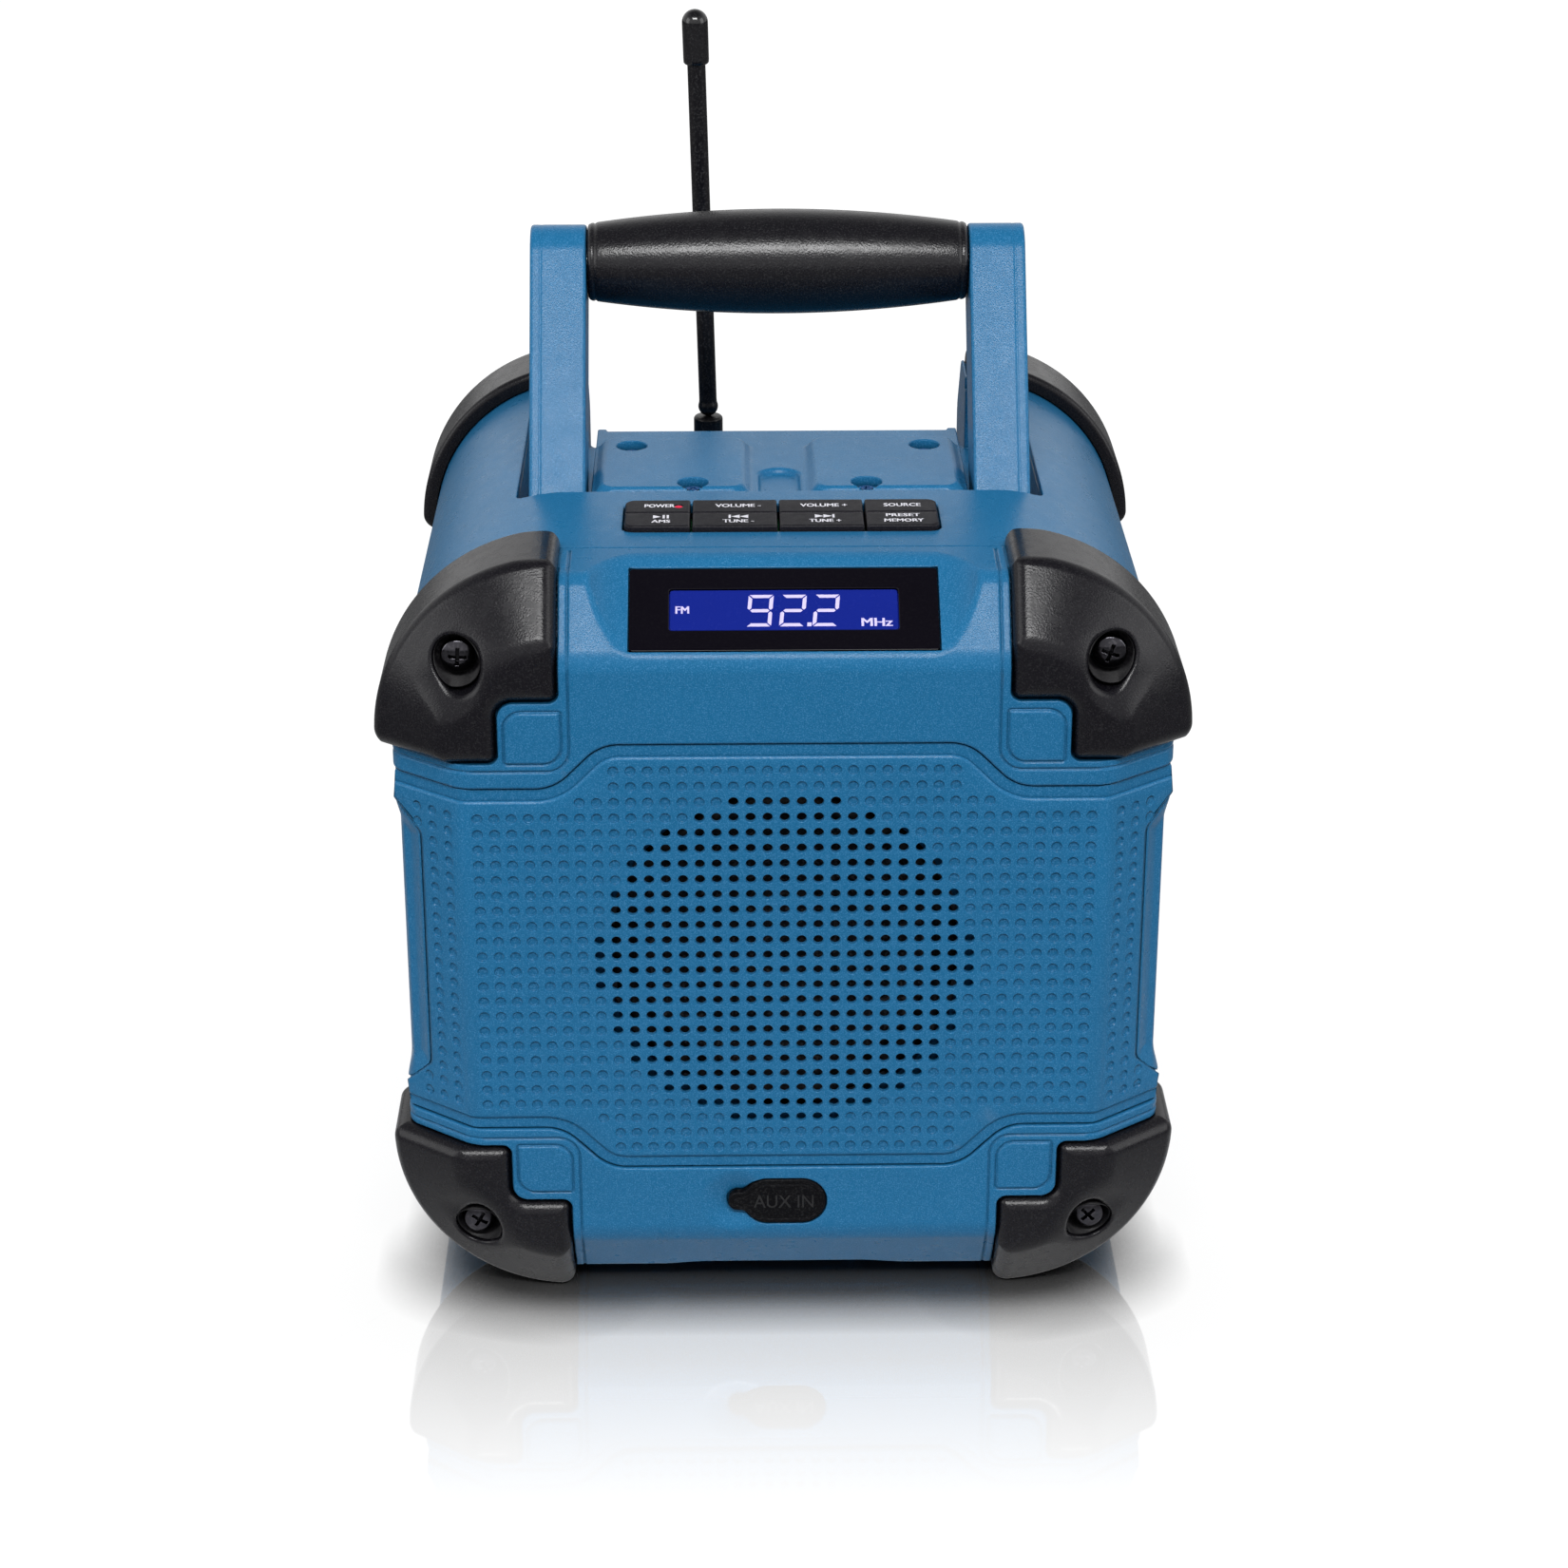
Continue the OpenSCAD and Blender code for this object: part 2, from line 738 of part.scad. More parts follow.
module front_top_right_bumper() {
  difference() {
    intersection() {
      translate([0, 0, foot_flat]) front_form(-bumper_t, depth / 2);
      along_y(-depth, -depth / 2 + bumper_len) bumper_outline();
      box(0, far, -far, 0, 0, top_z + bumper_t);
    }
    front_form(0, seat_y);
    along_y(-seam_y, 0) section(-seat_gap);
    pointing_back([bumper_screw_x, -depth, top_z - bumper_screw_z])
      cylinder(r = screw_well_r, h = depth);
  }
}

module bumper(side, low, rear) color(black) {
  mirror([0, rear, 0]) corner_place(side, low) front_top_right_bumper();
}

module bumper_screws() color(steel) {
  for (rear = [0, 1]) mirror([0, rear, 0]) four_corners()
    pointing_back([bumper_screw_x, -well_floor_y - screw_head_h, top_z - bumper_screw_z])
      screw(screw_head_r, screw_head_h, screw_r, bumper_screw_len);
}

// ---------------------------------------------------------------- handle

bolt_r = 2;
bolt_head_r = 5;
bolt_head_h = 2.4;
bolt_len = 18;

// Frame of the handle: Z runs up the arms from the pivot
module handle_place() {
  translate([0, -pivot_y, pivot_z]) rotate([-handle_lean, 0, 0]) children();
}

module across(r, x0, x1) {
  translate([x0, 0, 0]) rotate([0, 90, 0]) cylinder(r = r, h = x1 - x0);
}

module handle_arm(side) color(blue) {
  handle_place() mirror([side, 0, 0]) difference() {
    union() {
      across(arm_d / 2, arm_in, arm_in + arm_t);
      translate([0, 0, arm_len]) across(arm_d / 2, arm_in, arm_in + arm_t);
      box(arm_in, arm_in + arm_t, -arm_d / 2, arm_d / 2, 0, arm_len);
    }
    across(pivot_r + pin_gap, 0, far);
    translate([0, 0, arm_len]) {
      across(rod_r + pin_gap, 0, arm_in + arm_t - 4);
      across(bolt_r + pin_gap, 0, far);
      across(bolt_head_r + seat_gap, arm_in + arm_t - bolt_head_h, far);
    }
  }
}

// Barrel-shaped grip: its outline is a circular arc
module handle_grip() color(black) {
  bulge = grip_r - grip_end_r;
  half = arm_in - seat_gap;
  arc_r = (half * half + bulge * bulge) / (2 * bulge);
  steps = 16;
  handle_place() translate([0, 0, arm_len]) rotate([0, 90, 0]) difference() {
    rotate_extrude() polygon(concat(
      [[0, -half]],
      [for (i = [-steps : steps]) let (x = half * i / steps)
        [grip_r - arc_r + sqrt(arc_r * arc_r - x * x), x]],
      [[0, half]]));
    translate([0, 0, -far]) cylinder(r = rod_r + pin_gap, h = 2 * far);
  }
}

module handle_rod() color(steel) {
  end = arm_in + arm_t - 4 - seat_gap;
  handle_place() translate([0, 0, arm_len]) difference() {
    across(rod_r, -end, end);
    for (side = [0, 1]) mirror([side, 0, 0]) across(bolt_r + pin_gap, end - bolt_len, far);
  }
}

module handle_bolts() color(steel) {
  handle_place() for (side = [0, 1]) mirror([side, 0, 0])
    translate([arm_in + arm_t, 0, arm_len]) rotate([0, -90, 0])
      screw(bolt_head_r, bolt_head_h, bolt_r, bolt_len);
}

module handle_pivot(side) color(steel) {
  mirror([side, 0, 0]) translate([0, -pivot_y, pivot_z])
    across(pivot_r, deck_x - 2 * tray_t, tray_x + tray_t);
}

// ---------------------------------------------------------------- keys

key_h = key_proud + wall + 1;
key_bottom = top_z + key_proud - key_h;
board_top = key_bottom - key_travel - seat_gap;

// Outline of the block of keys from above, with round corners
module keys_outline(grow) {
  translate([0, -keys_y])
    round_rect(keys_w + 2 * grow, keys_d + 2 * grow, key_corner_r + grow);
}

module keys_area(grow, z0, z1) {
  translate([0, 0, z0]) linear_extrude(z1 - z0) keys_outline(grow);
}

// The left edge of each column of keys, as a share of the block's width
function key_edge(col) = keys_w * ([0, 0.213, 0.49, 0.765, 1][col] - 0.5);

// One key: column 0 is at the left, row 0 is at the rear
module key(col, row) {
  x0 = key_edge(col) + (col > 0 ? key_gap / 2 : 0);
  x1 = key_edge(col + 1) - (col < 3 ? key_gap / 2 : 0);
  y0 = -keys_y - (row == 1 ? keys_d / 2 : -key_gap / 2);
  y1 = -keys_y + (row == 0 ? keys_d / 2 : -key_gap / 2);
  color(black) intersection() {
    keys_area(0, key_bottom, key_bottom + key_h);
    box(x0, x1, y0, y1, 0, far);
  }
}

led_r = 1.1;
led_x = key_edge(1) - 3.5;
led_y = -keys_y + keys_d / 4;

module key_power() {
  difference() {
    key(0, 0);
    translate([led_x, led_y, top_z]) cylinder(r = led_r + pin_gap, h = far);
  }
}

module power_led() color("red") {
  translate([led_x, led_y, top_z]) cylinder(r = led_r, h = key_proud + 0.1);
}

board_margin = 6;
rib_inset = 3.4;

// Frame under the casing's top that carries the keypad board
module keypad_ribs() {
  z0 = board_top;
  z1 = top_z - wall + eps;
  difference() {
    keys_frame(board_margin, z0, z1);
    keys_area(board_margin - rib_inset, z0 - 1, z1 + 1);
  }
}

module keys_frame(grow, z0, z1) {
  box(-keys_w / 2 - grow, keys_w / 2 + grow, -keys_y - keys_d / 2 - grow,
      -keys_y + keys_d / 2 + grow, z0, z1);
}

module keypad_board() color("darkgreen") {
  keys_frame(board_margin, board_top - board_t, board_top);
}

// ---------------------------------------------------------------- display

module display_window() color([0.02, 0.02, 0.03]) {
  display_place() translate([0, lcd_up, 0]) difference() {
    box(-window_w / 2, window_w / 2, -window_h / 2, window_h / 2, -window_t, -0.1);
    box(-lcd_w / 2, lcd_w / 2, -lcd_h / 2, lcd_h / 2, -far, far);
  }
}

module lcd_module() color([0.13, 0.16, 0.62]) {
  display_place() translate([0, lcd_up, -window_t]) {
    box(-lcd_w / 2 - 1, lcd_w / 2 + 1, -lcd_h / 2 - 1, lcd_h / 2 + 1, -lcd_t, 0);
    box(-lcd_w / 2 + seat_gap, lcd_w / 2 - seat_gap, -lcd_h / 2 + seat_gap,
        lcd_h / 2 - seat_gap, -eps, window_t - 0.4);
  }
}

// ---------------------------------------------------------------- sockets

// Frame of a socket: its X and Z are the radio's, and -Y points out of the face
module front_flap_place() {
  translate([0, -face_y, floor_z + aux_z]) children();
}

module rear_flap_place() {
  rear_half() translate([dc_x, -face_y, dc_z]) children();
}

pocket_flap = flap_t + seat_gap;
pad_d = 12;

module flap_outline(grow = 0) {
  round_rect(flap_w + 2 * grow, flap_h + 2 * grow, flap_h / 2 + grow - eps);
  translate([-flap_w / 2 - flap_tab + 2.8, 0])
    round_rect(5.6 + 2 * grow, 5.6 + 2 * grow, 2.79 + grow);
  translate([-flap_w / 2 - flap_tab + 2.8, -2.8 - grow])
    square([flap_tab + 2, 5.6 + 2 * grow]);
}

module flap_pocket() {
  along_y(-1, pocket_flap) flap_outline(seat_gap);
}

module socket_flap() color(black) {
  along_y(0, flap_t) flap_outline();
}

aux_jack_r = 4;
aux_jack_len = aux_bore_len + 2;
dc_jack_r = 5;
dc_jack_len = dc_bore_len + 2;
jack_nut_r = 1.2;

module socket_hole(r, len) {
  pointing_back([0, 0, 0]) cylinder(r = r + pin_gap, h = len + far / 10);
}

// Socket with a blind bore behind the flap's pocket
module jack(r, len, bore_r, bore_len) {
  pointing_back([0, pocket_flap, 0]) difference() {
    union() {
      cylinder(r = r, h = len);
      translate([0, 0, jack_seat]) cylinder(r = r + jack_nut_r, h = len - jack_seat);
    }
    translate([0, 0, -1]) cylinder(r = bore_r, h = bore_len + 1);
  }
}

jack_seat = pad_d - pocket_flap;

module aux_jack() color("silver") {
  front_flap_place() jack(aux_jack_r, aux_jack_len, aux_bore_r, aux_bore_len);
}

module dc_jack() color("silver") {
  rear_flap_place() jack(dc_jack_r, dc_jack_len + 3, dc_bore_r, dc_bore_len);
}

module aux_flap() {
  front_flap_place() socket_flap();
}

module dc_flap() {
  rear_flap_place() socket_flap();
}

// ---------------------------------------------------------------- rear shell

// YZ outline of the notch, seen with the rear face at y = -face_y
module notch_outline(grow) {
  z = notch_z - grow;
  y = -face_y - 1;
  polygon([[-seam_y + 1, z], [-rim_y, z], [y, z - notch_drop], [y, far], [-seam_y + 1, far]]);
}

module rear_housing() color(blue) {
  rear_half() difference() {
    front_shell() {
      union() {
        along_x(-notch_x - wall, notch_x + wall) notch_outline(wall);
        translate([dc_x, -face_y, dc_z]) socket_pad();
        box(-door_w / 2 - door_ear, door_w / 2 + door_ear, -inner_y, -inner_y + wall,
            hinge_z - hinge_r - wall, bay_z - case_t - seat_gap);
      }
      along_y(-depth, -seam_y / 2) all_bumper_outlines();
    }
    along_x(-notch_x, notch_x) notch_outline(0);
    door_recess();
    box(-bay_w / 2, bay_w / 2, -depth, -inner_y + 1, bay_z, bay_z + bay_h);
    translate([dc_x, -face_y, dc_z]) {
      flap_pocket();
      socket_hole(dc_jack_r, dc_jack_len);
    }
    translate([-antenna_x, -antenna_y, notch_z - 2 * wall])
      cylinder(r = antenna_stud_r + pin_gap, h = far);
    seal_groove(-seam_y);
  }
}

// Space for the battery door, its hinge and its screw, with the face at y = -face_y
module door_recess() {
  x = door_w / 2 + seat_gap;
  box(-x, x, -depth, -face_y + door_t + seat_gap, hinge_z, door_top + seat_gap);
  box(-x, x, -depth, -hinge_y + hinge_r + seat_gap, hinge_z - hinge_r - seat_gap,
      hinge_z + hinge_r + seat_gap);
  translate([0, -hinge_y, hinge_z])
    across(hinge_pin_r + pin_gap, -door_w / 2 - door_ear, door_w / 2 + door_ear);
  pointing_back([0, -face_y, coin_z]) cylinder(r = coin_shank_r + 0.8, h = door_t + 2.6);
}

// ---------------------------------------------------------------- batteries

coin_shank_r = 3;
coin_head_h = 1.2;
coin_z = door_top - coin_r - 1.5;

module battery_door() color(blue) {
  difference() {
    union() {
      box(-door_w / 2, door_w / 2, face_y - door_t, face_y, hinge_z, door_top);
      translate([0, hinge_y, hinge_z]) across(hinge_r, -door_w / 2, door_w / 2);
    }
    translate([0, hinge_y, hinge_z]) across(hinge_pin_r + pin_gap, -far, far);
    pointing_back([0, 0, coin_z]) cylinder(r = coin_shank_r + pin_gap, h = far);
    pointing_back([0, face_y - coin_head_h, coin_z]) cylinder(r = coin_r + pin_gap, h = far);
  }
}

module door_hinge_pin() color(steel) {
  end = door_w / 2 + door_ear - seat_gap;
  translate([0, hinge_y, hinge_z]) across(hinge_pin_r, -end, end);
}

module door_screw() color(steel) {
  difference() {
    union() {
      pointing_back([0, face_y - coin_head_h, coin_z]) cylinder(r = coin_r, h = coin_head_h);
      pointing_back([0, face_y - door_t - 2, coin_z])
        cylinder(r = coin_shank_r, h = door_t + 2 - coin_head_h / 2);
    }
    translate([0, face_y, coin_z]) cube([1.6 * coin_r, coin_head_h, 1.4], center = true);
  }
}

module battery_case() color(black) {
  difference() {
    box(-bay_w / 2 - case_t, bay_w / 2 + case_t, bay_front - case_t, inner_y,
        bay_z - case_t, bay_z + bay_h + case_t);
    box(-bay_w / 2, bay_w / 2, bay_front, far, bay_z, bay_z + bay_h);
  }
}

// Places children on the axis of each of the three rows of cells
module cell_rows() {
  pitch = 2 * cell_r + cell_gap;
  for (i = [0 : 2])
    translate([0, (bay_front + bay_back) / 2, bay_z + cell_gap + cell_r + i * pitch])
      children();
}

module battery_cells() color([0.30, 0.33, 0.36]) {
  nub_h = 1.4;
  cell_rows() for (x = [-cell_len + seat_gap, seat_gap]) {
    across(cell_r, x, x + cell_len - nub_h - seat_gap);
    across(3.2, x, x + cell_len - 2 * seat_gap);
  }
}

// A plate at each end of a row, with a conical spring on one of them
module battery_contacts() color(steel) {
  plate_t = 0.5;
  plate = 14;
  wire = 0.6;
  x0 = -bay_w / 2;
  spring_len = spring_room - plate_t;
  cell_rows() {
    box(x0, x0 + plate_t, -plate / 2, plate / 2, -plate / 2, plate / 2);
    translate([x0 + plate_t - eps, 0, 0]) rotate([0, 90, 0]) difference() {
      cylinder(r1 = 6, r2 = 4, h = spring_len);
      translate([0, 0, -1]) cylinder(r = 4 - wire, h = spring_room + 1);
    }
    box(-x0 - spring_room + seat_gap, -x0, -plate / 4, plate / 4, -plate / 2, plate / 2);
  }
}

// ---------------------------------------------------------------- antenna

antenna_y = seam_y + antenna_back;
antenna_stud_r = 3;
antenna_base_r = 6.5;
antenna_base_h = 3.6;
antenna_collar_h = 10;
antenna_base_z = notch_z + antenna_base_h;
antenna_pivot_z = antenna_base_z + antenna_collar_h + seat_gap + antenna_r;

module antenna_socket() color(steel) {
  translate([-antenna_x, antenna_y, notch_z]) {
    cylinder(r = antenna_base_r, h = antenna_base_h);
    translate([0, 0, -2.5 * wall]) cylinder(r = antenna_stud_r, h = 2.5 * wall + eps);
  }
}

module antenna_collar() color(black) {
  translate([-antenna_x, antenna_y, antenna_base_z])
    cylinder(r = antenna_collar_r, h = antenna_collar_h);
}

module antenna_place() {
  translate([-antenna_x, antenna_y, antenna_pivot_z]) rotate([0, -antenna_lean, 0])
    children();
}

tip_bottom = antenna_len - antenna_r - antenna_tip_len;

module antenna_rod() color(black) {
  antenna_place() {
    sphere(antenna_r);
    cylinder(r = antenna_r, h = tip_bottom + antenna_tip_len / 2);
  }
}

module antenna_tip() color(black) {
  antenna_place() translate([0, 0, tip_bottom]) difference() {
    union() {
      cylinder(r = antenna_tip_r, h = antenna_tip_len - antenna_tip_r);
      translate([0, 0, antenna_tip_len - antenna_tip_r]) sphere(antenna_tip_r);
    }
    translate([0, 0, -1])
      cylinder(r = antenna_r + pin_gap, h = antenna_tip_len / 2 + seat_gap + 1);
  }
}

// ---------------------------------------------------------------- loudspeaker

flange_t = 2.5;
cone_r = 40.2;
coil_r = 13;
surround_r = 3;
speaker_in_r = 46.5;
cone_top = 1.2;
cone_d = 17;
basket_slot_w = 15;
basket_slot_h = 6.5;
basket_h = speaker_d - magnet_t;
speaker_screw_r = 1.5;

// Frame of the loudspeaker: Z points back from its flange
module speaker_place() {
  pointing_back([0, -inner_y, mid_z]) children();
}

module speaker_screw_points() {
  speaker_place() for (a = [45 : 90 : 315]) rotate(a)
    translate([(speaker_open_r + speaker_r) / 2, 0, 0]) children();
}

module speaker_basket() color([0.25, 0.25, 0.27]) {
  sheet = 1.5;
  difference() {
    speaker_place() difference() {
      rotate_extrude() polygon([
        [speaker_in_r, 0], [speaker_r, 0], [speaker_r, flange_t],
        [speaker_in_r + 2 * sheet, flange_t], [magnet_r + 2, basket_h],
        [coil_r + 1, basket_h], [coil_r + 1, basket_h - sheet],
        [magnet_r + 1, basket_h - sheet], [speaker_in_r, flange_t]]);
      for (a = [0 : 45 : 135]) rotate(a)
        cube([3 * speaker_r, basket_slot_w, 2 * basket_slot_h], center = true);
    }
    speaker_screw_points() cylinder(r = speaker_screw_r + pin_gap, h = far, center = true);
  }
}

module speaker_magnet() color([0.35, 0.35, 0.36]) {
  speaker_place() translate([0, 0, basket_h]) cylinder(r = magnet_r, h = magnet_t);
}

module speaker_surround() color(black) {
  mid = (speaker_in_r + cone_r) / 2;
  speaker_place() rotate_extrude() translate([mid, cone_top]) difference() {
    circle(surround_r);
    circle(surround_r - 0.8);
    translate([-far, 0]) square(2 * far);
  }
}

module speaker_cone() color([0.18, 0.18, 0.19]) {
  paper = 1;
  speaker_place() {
    rotate_extrude() polygon([
      [cone_r - 0.1, cone_top], [cone_r - 0.1, cone_top + paper],
      [coil_r - paper, cone_d + paper],
      [coil_r - paper, basket_h - seat_gap], [coil_r - 2 * paper, basket_h - seat_gap],
      [coil_r - 2 * paper, cone_d]]);
  }
}

module speaker_dust_cap() color(black) {
  cap_h = 4;
  cap_r = coil_r - 0.5;
  ball = (cap_r * cap_r + cap_h * cap_h) / (2 * cap_h);
  speaker_place() translate([0, 0, cone_d - 0.8 - seat_gap]) mirror([0, 0, 1])
    rotate_extrude() intersection() {
      translate([0, cap_h - ball]) circle(ball, $fn = 96);
      square([cap_r, cap_h]);
    }
}

module speaker_screws() color(steel) {
  head_h = 2;
  speaker_screw_points() translate([0, 0, flange_t + head_h]) mirror([0, 0, 1])
    screw(2 * speaker_screw_r, head_h, speaker_screw_r, flange_t + wall - seat_gap);
}

// ---------------------------------------------------------------- boards

board_z = floor_z + wall + board_up;
board_screw_r = 1.15;
board_screw_head_r = 2.5;
board_screw_head_h = 2;
board_screw_len = 8;
sink_w = 32;
sink_h = 20;
sink_t = 2;
fin_pitch = 5;
fin_t = 1.6;
fin_len = 12;
can_r = 5;
can_h = 13;
can_x = 31;
can_pitch = 13;
chip_w = 18;
chip_h = 2.4;
plug_w = 12;
plug_d = 6;
plug_h = 8;

module main_board() color("darkgreen") {
  difference() {
    box(-board_w / 2, board_w / 2, -board_d / 2, board_d / 2, board_z, board_z + board_t);
    board_points() cylinder(r = board_screw_r + pin_gap, h = far);
  }
}

module board_screws() color(steel) {
  board_points() translate([0, 0, board_z + board_t + board_screw_head_h])
    mirror([0, 0, 1])
      screw(board_screw_head_r, board_screw_head_h, board_screw_r, board_screw_len);
}

// Heat sink, capacitors, chip and plugs on the main board
module board_parts() color([0.3, 0.3, 0.32]) {
  sink_y = board_d / 4;
  translate([0, 0, board_z + board_t]) {
    box(-sink_w / 2, sink_w / 2, sink_y - sink_t, sink_y, 0, sink_h);
    for (i = [-3 : 3])
      box(i * fin_pitch - fin_t / 2, i * fin_pitch + fin_t / 2, sink_y - eps,
          sink_y + fin_len, 0, sink_h);
    for (side = [-1, 1], i = [-0.5, 0.5])
      translate([side * can_x + i * can_pitch, -board_d / 5, 0]) cylinder(r = can_r, h = can_h);
    box(-chip_w / 2, chip_w / 2, -chip_w / 2, chip_w / 2, 0, chip_h);
    for (i = [-0.5, 0.5]) translate([-can_x + i * (plug_w + fin_pitch), sink_y + fin_len, 0])
      box(-plug_w / 2, plug_w / 2, -plug_d, 0, 0, plug_h);
  }
}

// ---------------------------------------------------------------- pieces

front_bezel();
speaker_grille();
main_housing();
handle_tray();
rear_housing();
front_seal();
rear_seal();
bumper(1, 0, 0);  // bumper_front_top_left
bumper(0, 0, 0);  // bumper_front_top_right
bumper(1, 1, 0);  // bumper_front_bottom_left
bumper(0, 1, 0);  // bumper_front_bottom_right
bumper(1, 0, 1);  // bumper_rear_top_left
bumper(0, 0, 1);  // bumper_rear_top_right
bumper(1, 1, 1);  // bumper_rear_bottom_left
bumper(0, 1, 1);  // bumper_rear_bottom_right
bumper_screws();
tray_screws();
handle_arm(1);  // handle_arm_left
handle_arm(0);  // handle_arm_right
handle_grip();
handle_rod();
handle_bolts();
handle_pivot(1);  // handle_pivot_left
handle_pivot(0);  // handle_pivot_right
key_power();
key(1, 0);  // key_volume_down
key(2, 0);  // key_volume_up
key(3, 0);  // key_source
key(0, 1);  // key_play
key(1, 1);  // key_tune_down
key(2, 1);  // key_tune_up
key(3, 1);  // key_memory
power_led();
keypad_board();
display_window();
lcd_module();
aux_flap();
aux_jack();
dc_flap();
dc_jack();
antenna_socket();
antenna_collar();
antenna_rod();
antenna_tip();
speaker_basket();
speaker_magnet();
speaker_surround();
speaker_cone();
speaker_dust_cap();
speaker_screws();
main_board();
board_screws();
board_parts();
battery_case();
battery_cells();
battery_contacts();
battery_door();
door_hinge_pin();
door_screw();
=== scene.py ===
import json
import math
from functools import reduce

import bmesh
import bpy
import numpy as np
from mathutils import Matrix, Vector
from mathutils.geometry import delaunay_2d_cdt

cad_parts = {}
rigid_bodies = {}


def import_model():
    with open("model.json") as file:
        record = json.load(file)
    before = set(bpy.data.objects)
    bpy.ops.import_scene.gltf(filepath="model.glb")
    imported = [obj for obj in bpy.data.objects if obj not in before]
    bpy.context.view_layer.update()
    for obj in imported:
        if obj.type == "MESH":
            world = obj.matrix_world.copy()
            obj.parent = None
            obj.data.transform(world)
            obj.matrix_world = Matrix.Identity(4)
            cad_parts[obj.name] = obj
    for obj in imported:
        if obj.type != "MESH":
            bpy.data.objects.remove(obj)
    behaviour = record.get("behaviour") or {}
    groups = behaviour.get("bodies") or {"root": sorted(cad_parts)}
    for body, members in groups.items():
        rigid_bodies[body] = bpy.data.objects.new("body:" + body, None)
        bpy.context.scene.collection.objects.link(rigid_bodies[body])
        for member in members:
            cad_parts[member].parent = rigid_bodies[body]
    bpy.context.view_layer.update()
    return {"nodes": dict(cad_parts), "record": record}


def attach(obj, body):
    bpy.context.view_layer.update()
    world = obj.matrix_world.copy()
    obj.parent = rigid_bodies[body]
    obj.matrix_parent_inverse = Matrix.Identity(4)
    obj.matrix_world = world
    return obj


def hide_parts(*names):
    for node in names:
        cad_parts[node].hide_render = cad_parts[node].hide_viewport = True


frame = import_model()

MM = 0.001

# ------------------------------------------------------------------ sizes, mm
TOP_Z, FLOOR_Z, MID_Z = 213.6, 4.4, 109.0
HALF_W = 104.0
FACE_Y = 109.4
WALL = 3.0
SEAT_Y = FACE_Y - WALL
INNER_Y = SEAT_Y - WALL
SEAM_Y = 75.0
CHAMFER_D, CHAMFER_W = 14.3, 18.8
CHAMFER_L = math.hypot(CHAMFER_D, CHAMFER_W)
RIM_Y = FACE_Y - CHAMFER_D
CORNER_R = 45.0
SLOPE_A = math.atan2(18.1, 28.5)
SLOPE_Z = 195.5
WINDOW_V = 15.95
BUMPER_Y, BUMPER_OUT = 111.0, 4.4
SCREW_X, SCREW_Z = 85.0, 193.5
WELL_R, WELL_FLOOR_Y = 6.5, 98.9
TRAY_X, TRAY_FRONT = 73.0, 29.4
TRAY_SCREWS = ((42, 10.4), (24.2, -22))
SLOT_X = 75.6
DECK_X, DECK_Z, DECK_BACK = 52.6, 210.6, 35.0
SLOT_Z = 191.6
NOTCH_Z = 185.0
PIVOT = (0, -18.5, 203.8)
PIN_R = 3.05
LEAN = 33.6
ARM_LEN, ARM_R, ARM_OUT = 73.0, 10.5, 69.8
ANTENNA = (-20.5, 85.0)
AUX = (0.0, 33.8)
DC = (34.0, 145.8)
DOOR_X, DOOR_Z0, DOOR_Z1 = 56.0, 39.0, 136.8
COIN_Z = 129.3


# ------------------------------------------------------------------ solids as distance fields
def inter(*fields):
    """Intersection with sharp edges."""
    return reduce(np.maximum, fields)


def union(*fields):
    return reduce(np.minimum, fields)


def cut(f, *others):
    """Field f without the others, the edges sharp."""
    return reduce(lambda a, b: np.maximum(a, -b), others, f)


def rmax(a, b, r):
    """Intersection of two fields, its edge rounded to radius r."""
    u = np.maximum(a + r, 0)
    v = np.maximum(b + r, 0)
    return np.minimum(np.maximum(a, b), -r) + np.sqrt(u * u + v * v)


def rmin(a, b, r):
    """Union of two fields, its inner corner filled to radius r."""
    return -rmax(-a, -b, r)


def rcut(a, b, r):
    """Field a without field b, the edge rounded to radius r."""
    return rmax(a, -b, r)


def groove(d, width, depth):
    """Amount by which a groove along d = 0 lowers a surface."""
    return depth * np.exp(-(d / (width * 0.55)) ** 2)


def smooth(t):
    t = np.clip(t, 0, 1)
    return t * t * (3 - 2 * t)


def round_rect(x, z, w, h, r):
    """Rectangle of half sizes w and h with corners of radius r."""
    qx = np.abs(x) - (w - r)
    qz = np.abs(z) - (h - r)
    return np.hypot(np.maximum(qx, 0), np.maximum(qz, 0)) + np.minimum(inter(qx, qz), 0) - r


def box3(x, y, z, lo, hi, r=0.0):
    """Box between two corners with edges of radius r."""
    q = [np.abs(v - (a + b) / 2) - ((b - a) / 2 - r) for v, a, b in zip((x, y, z), lo, hi)]
    out = np.sqrt(sum(np.maximum(v, 0) ** 2 for v in q))
    return out + np.minimum(inter(*q), 0) - r


def rod_y(x, z, cx, cz, r):
    return np.hypot(x - cx, z - cz) - r


BLOCK = 8


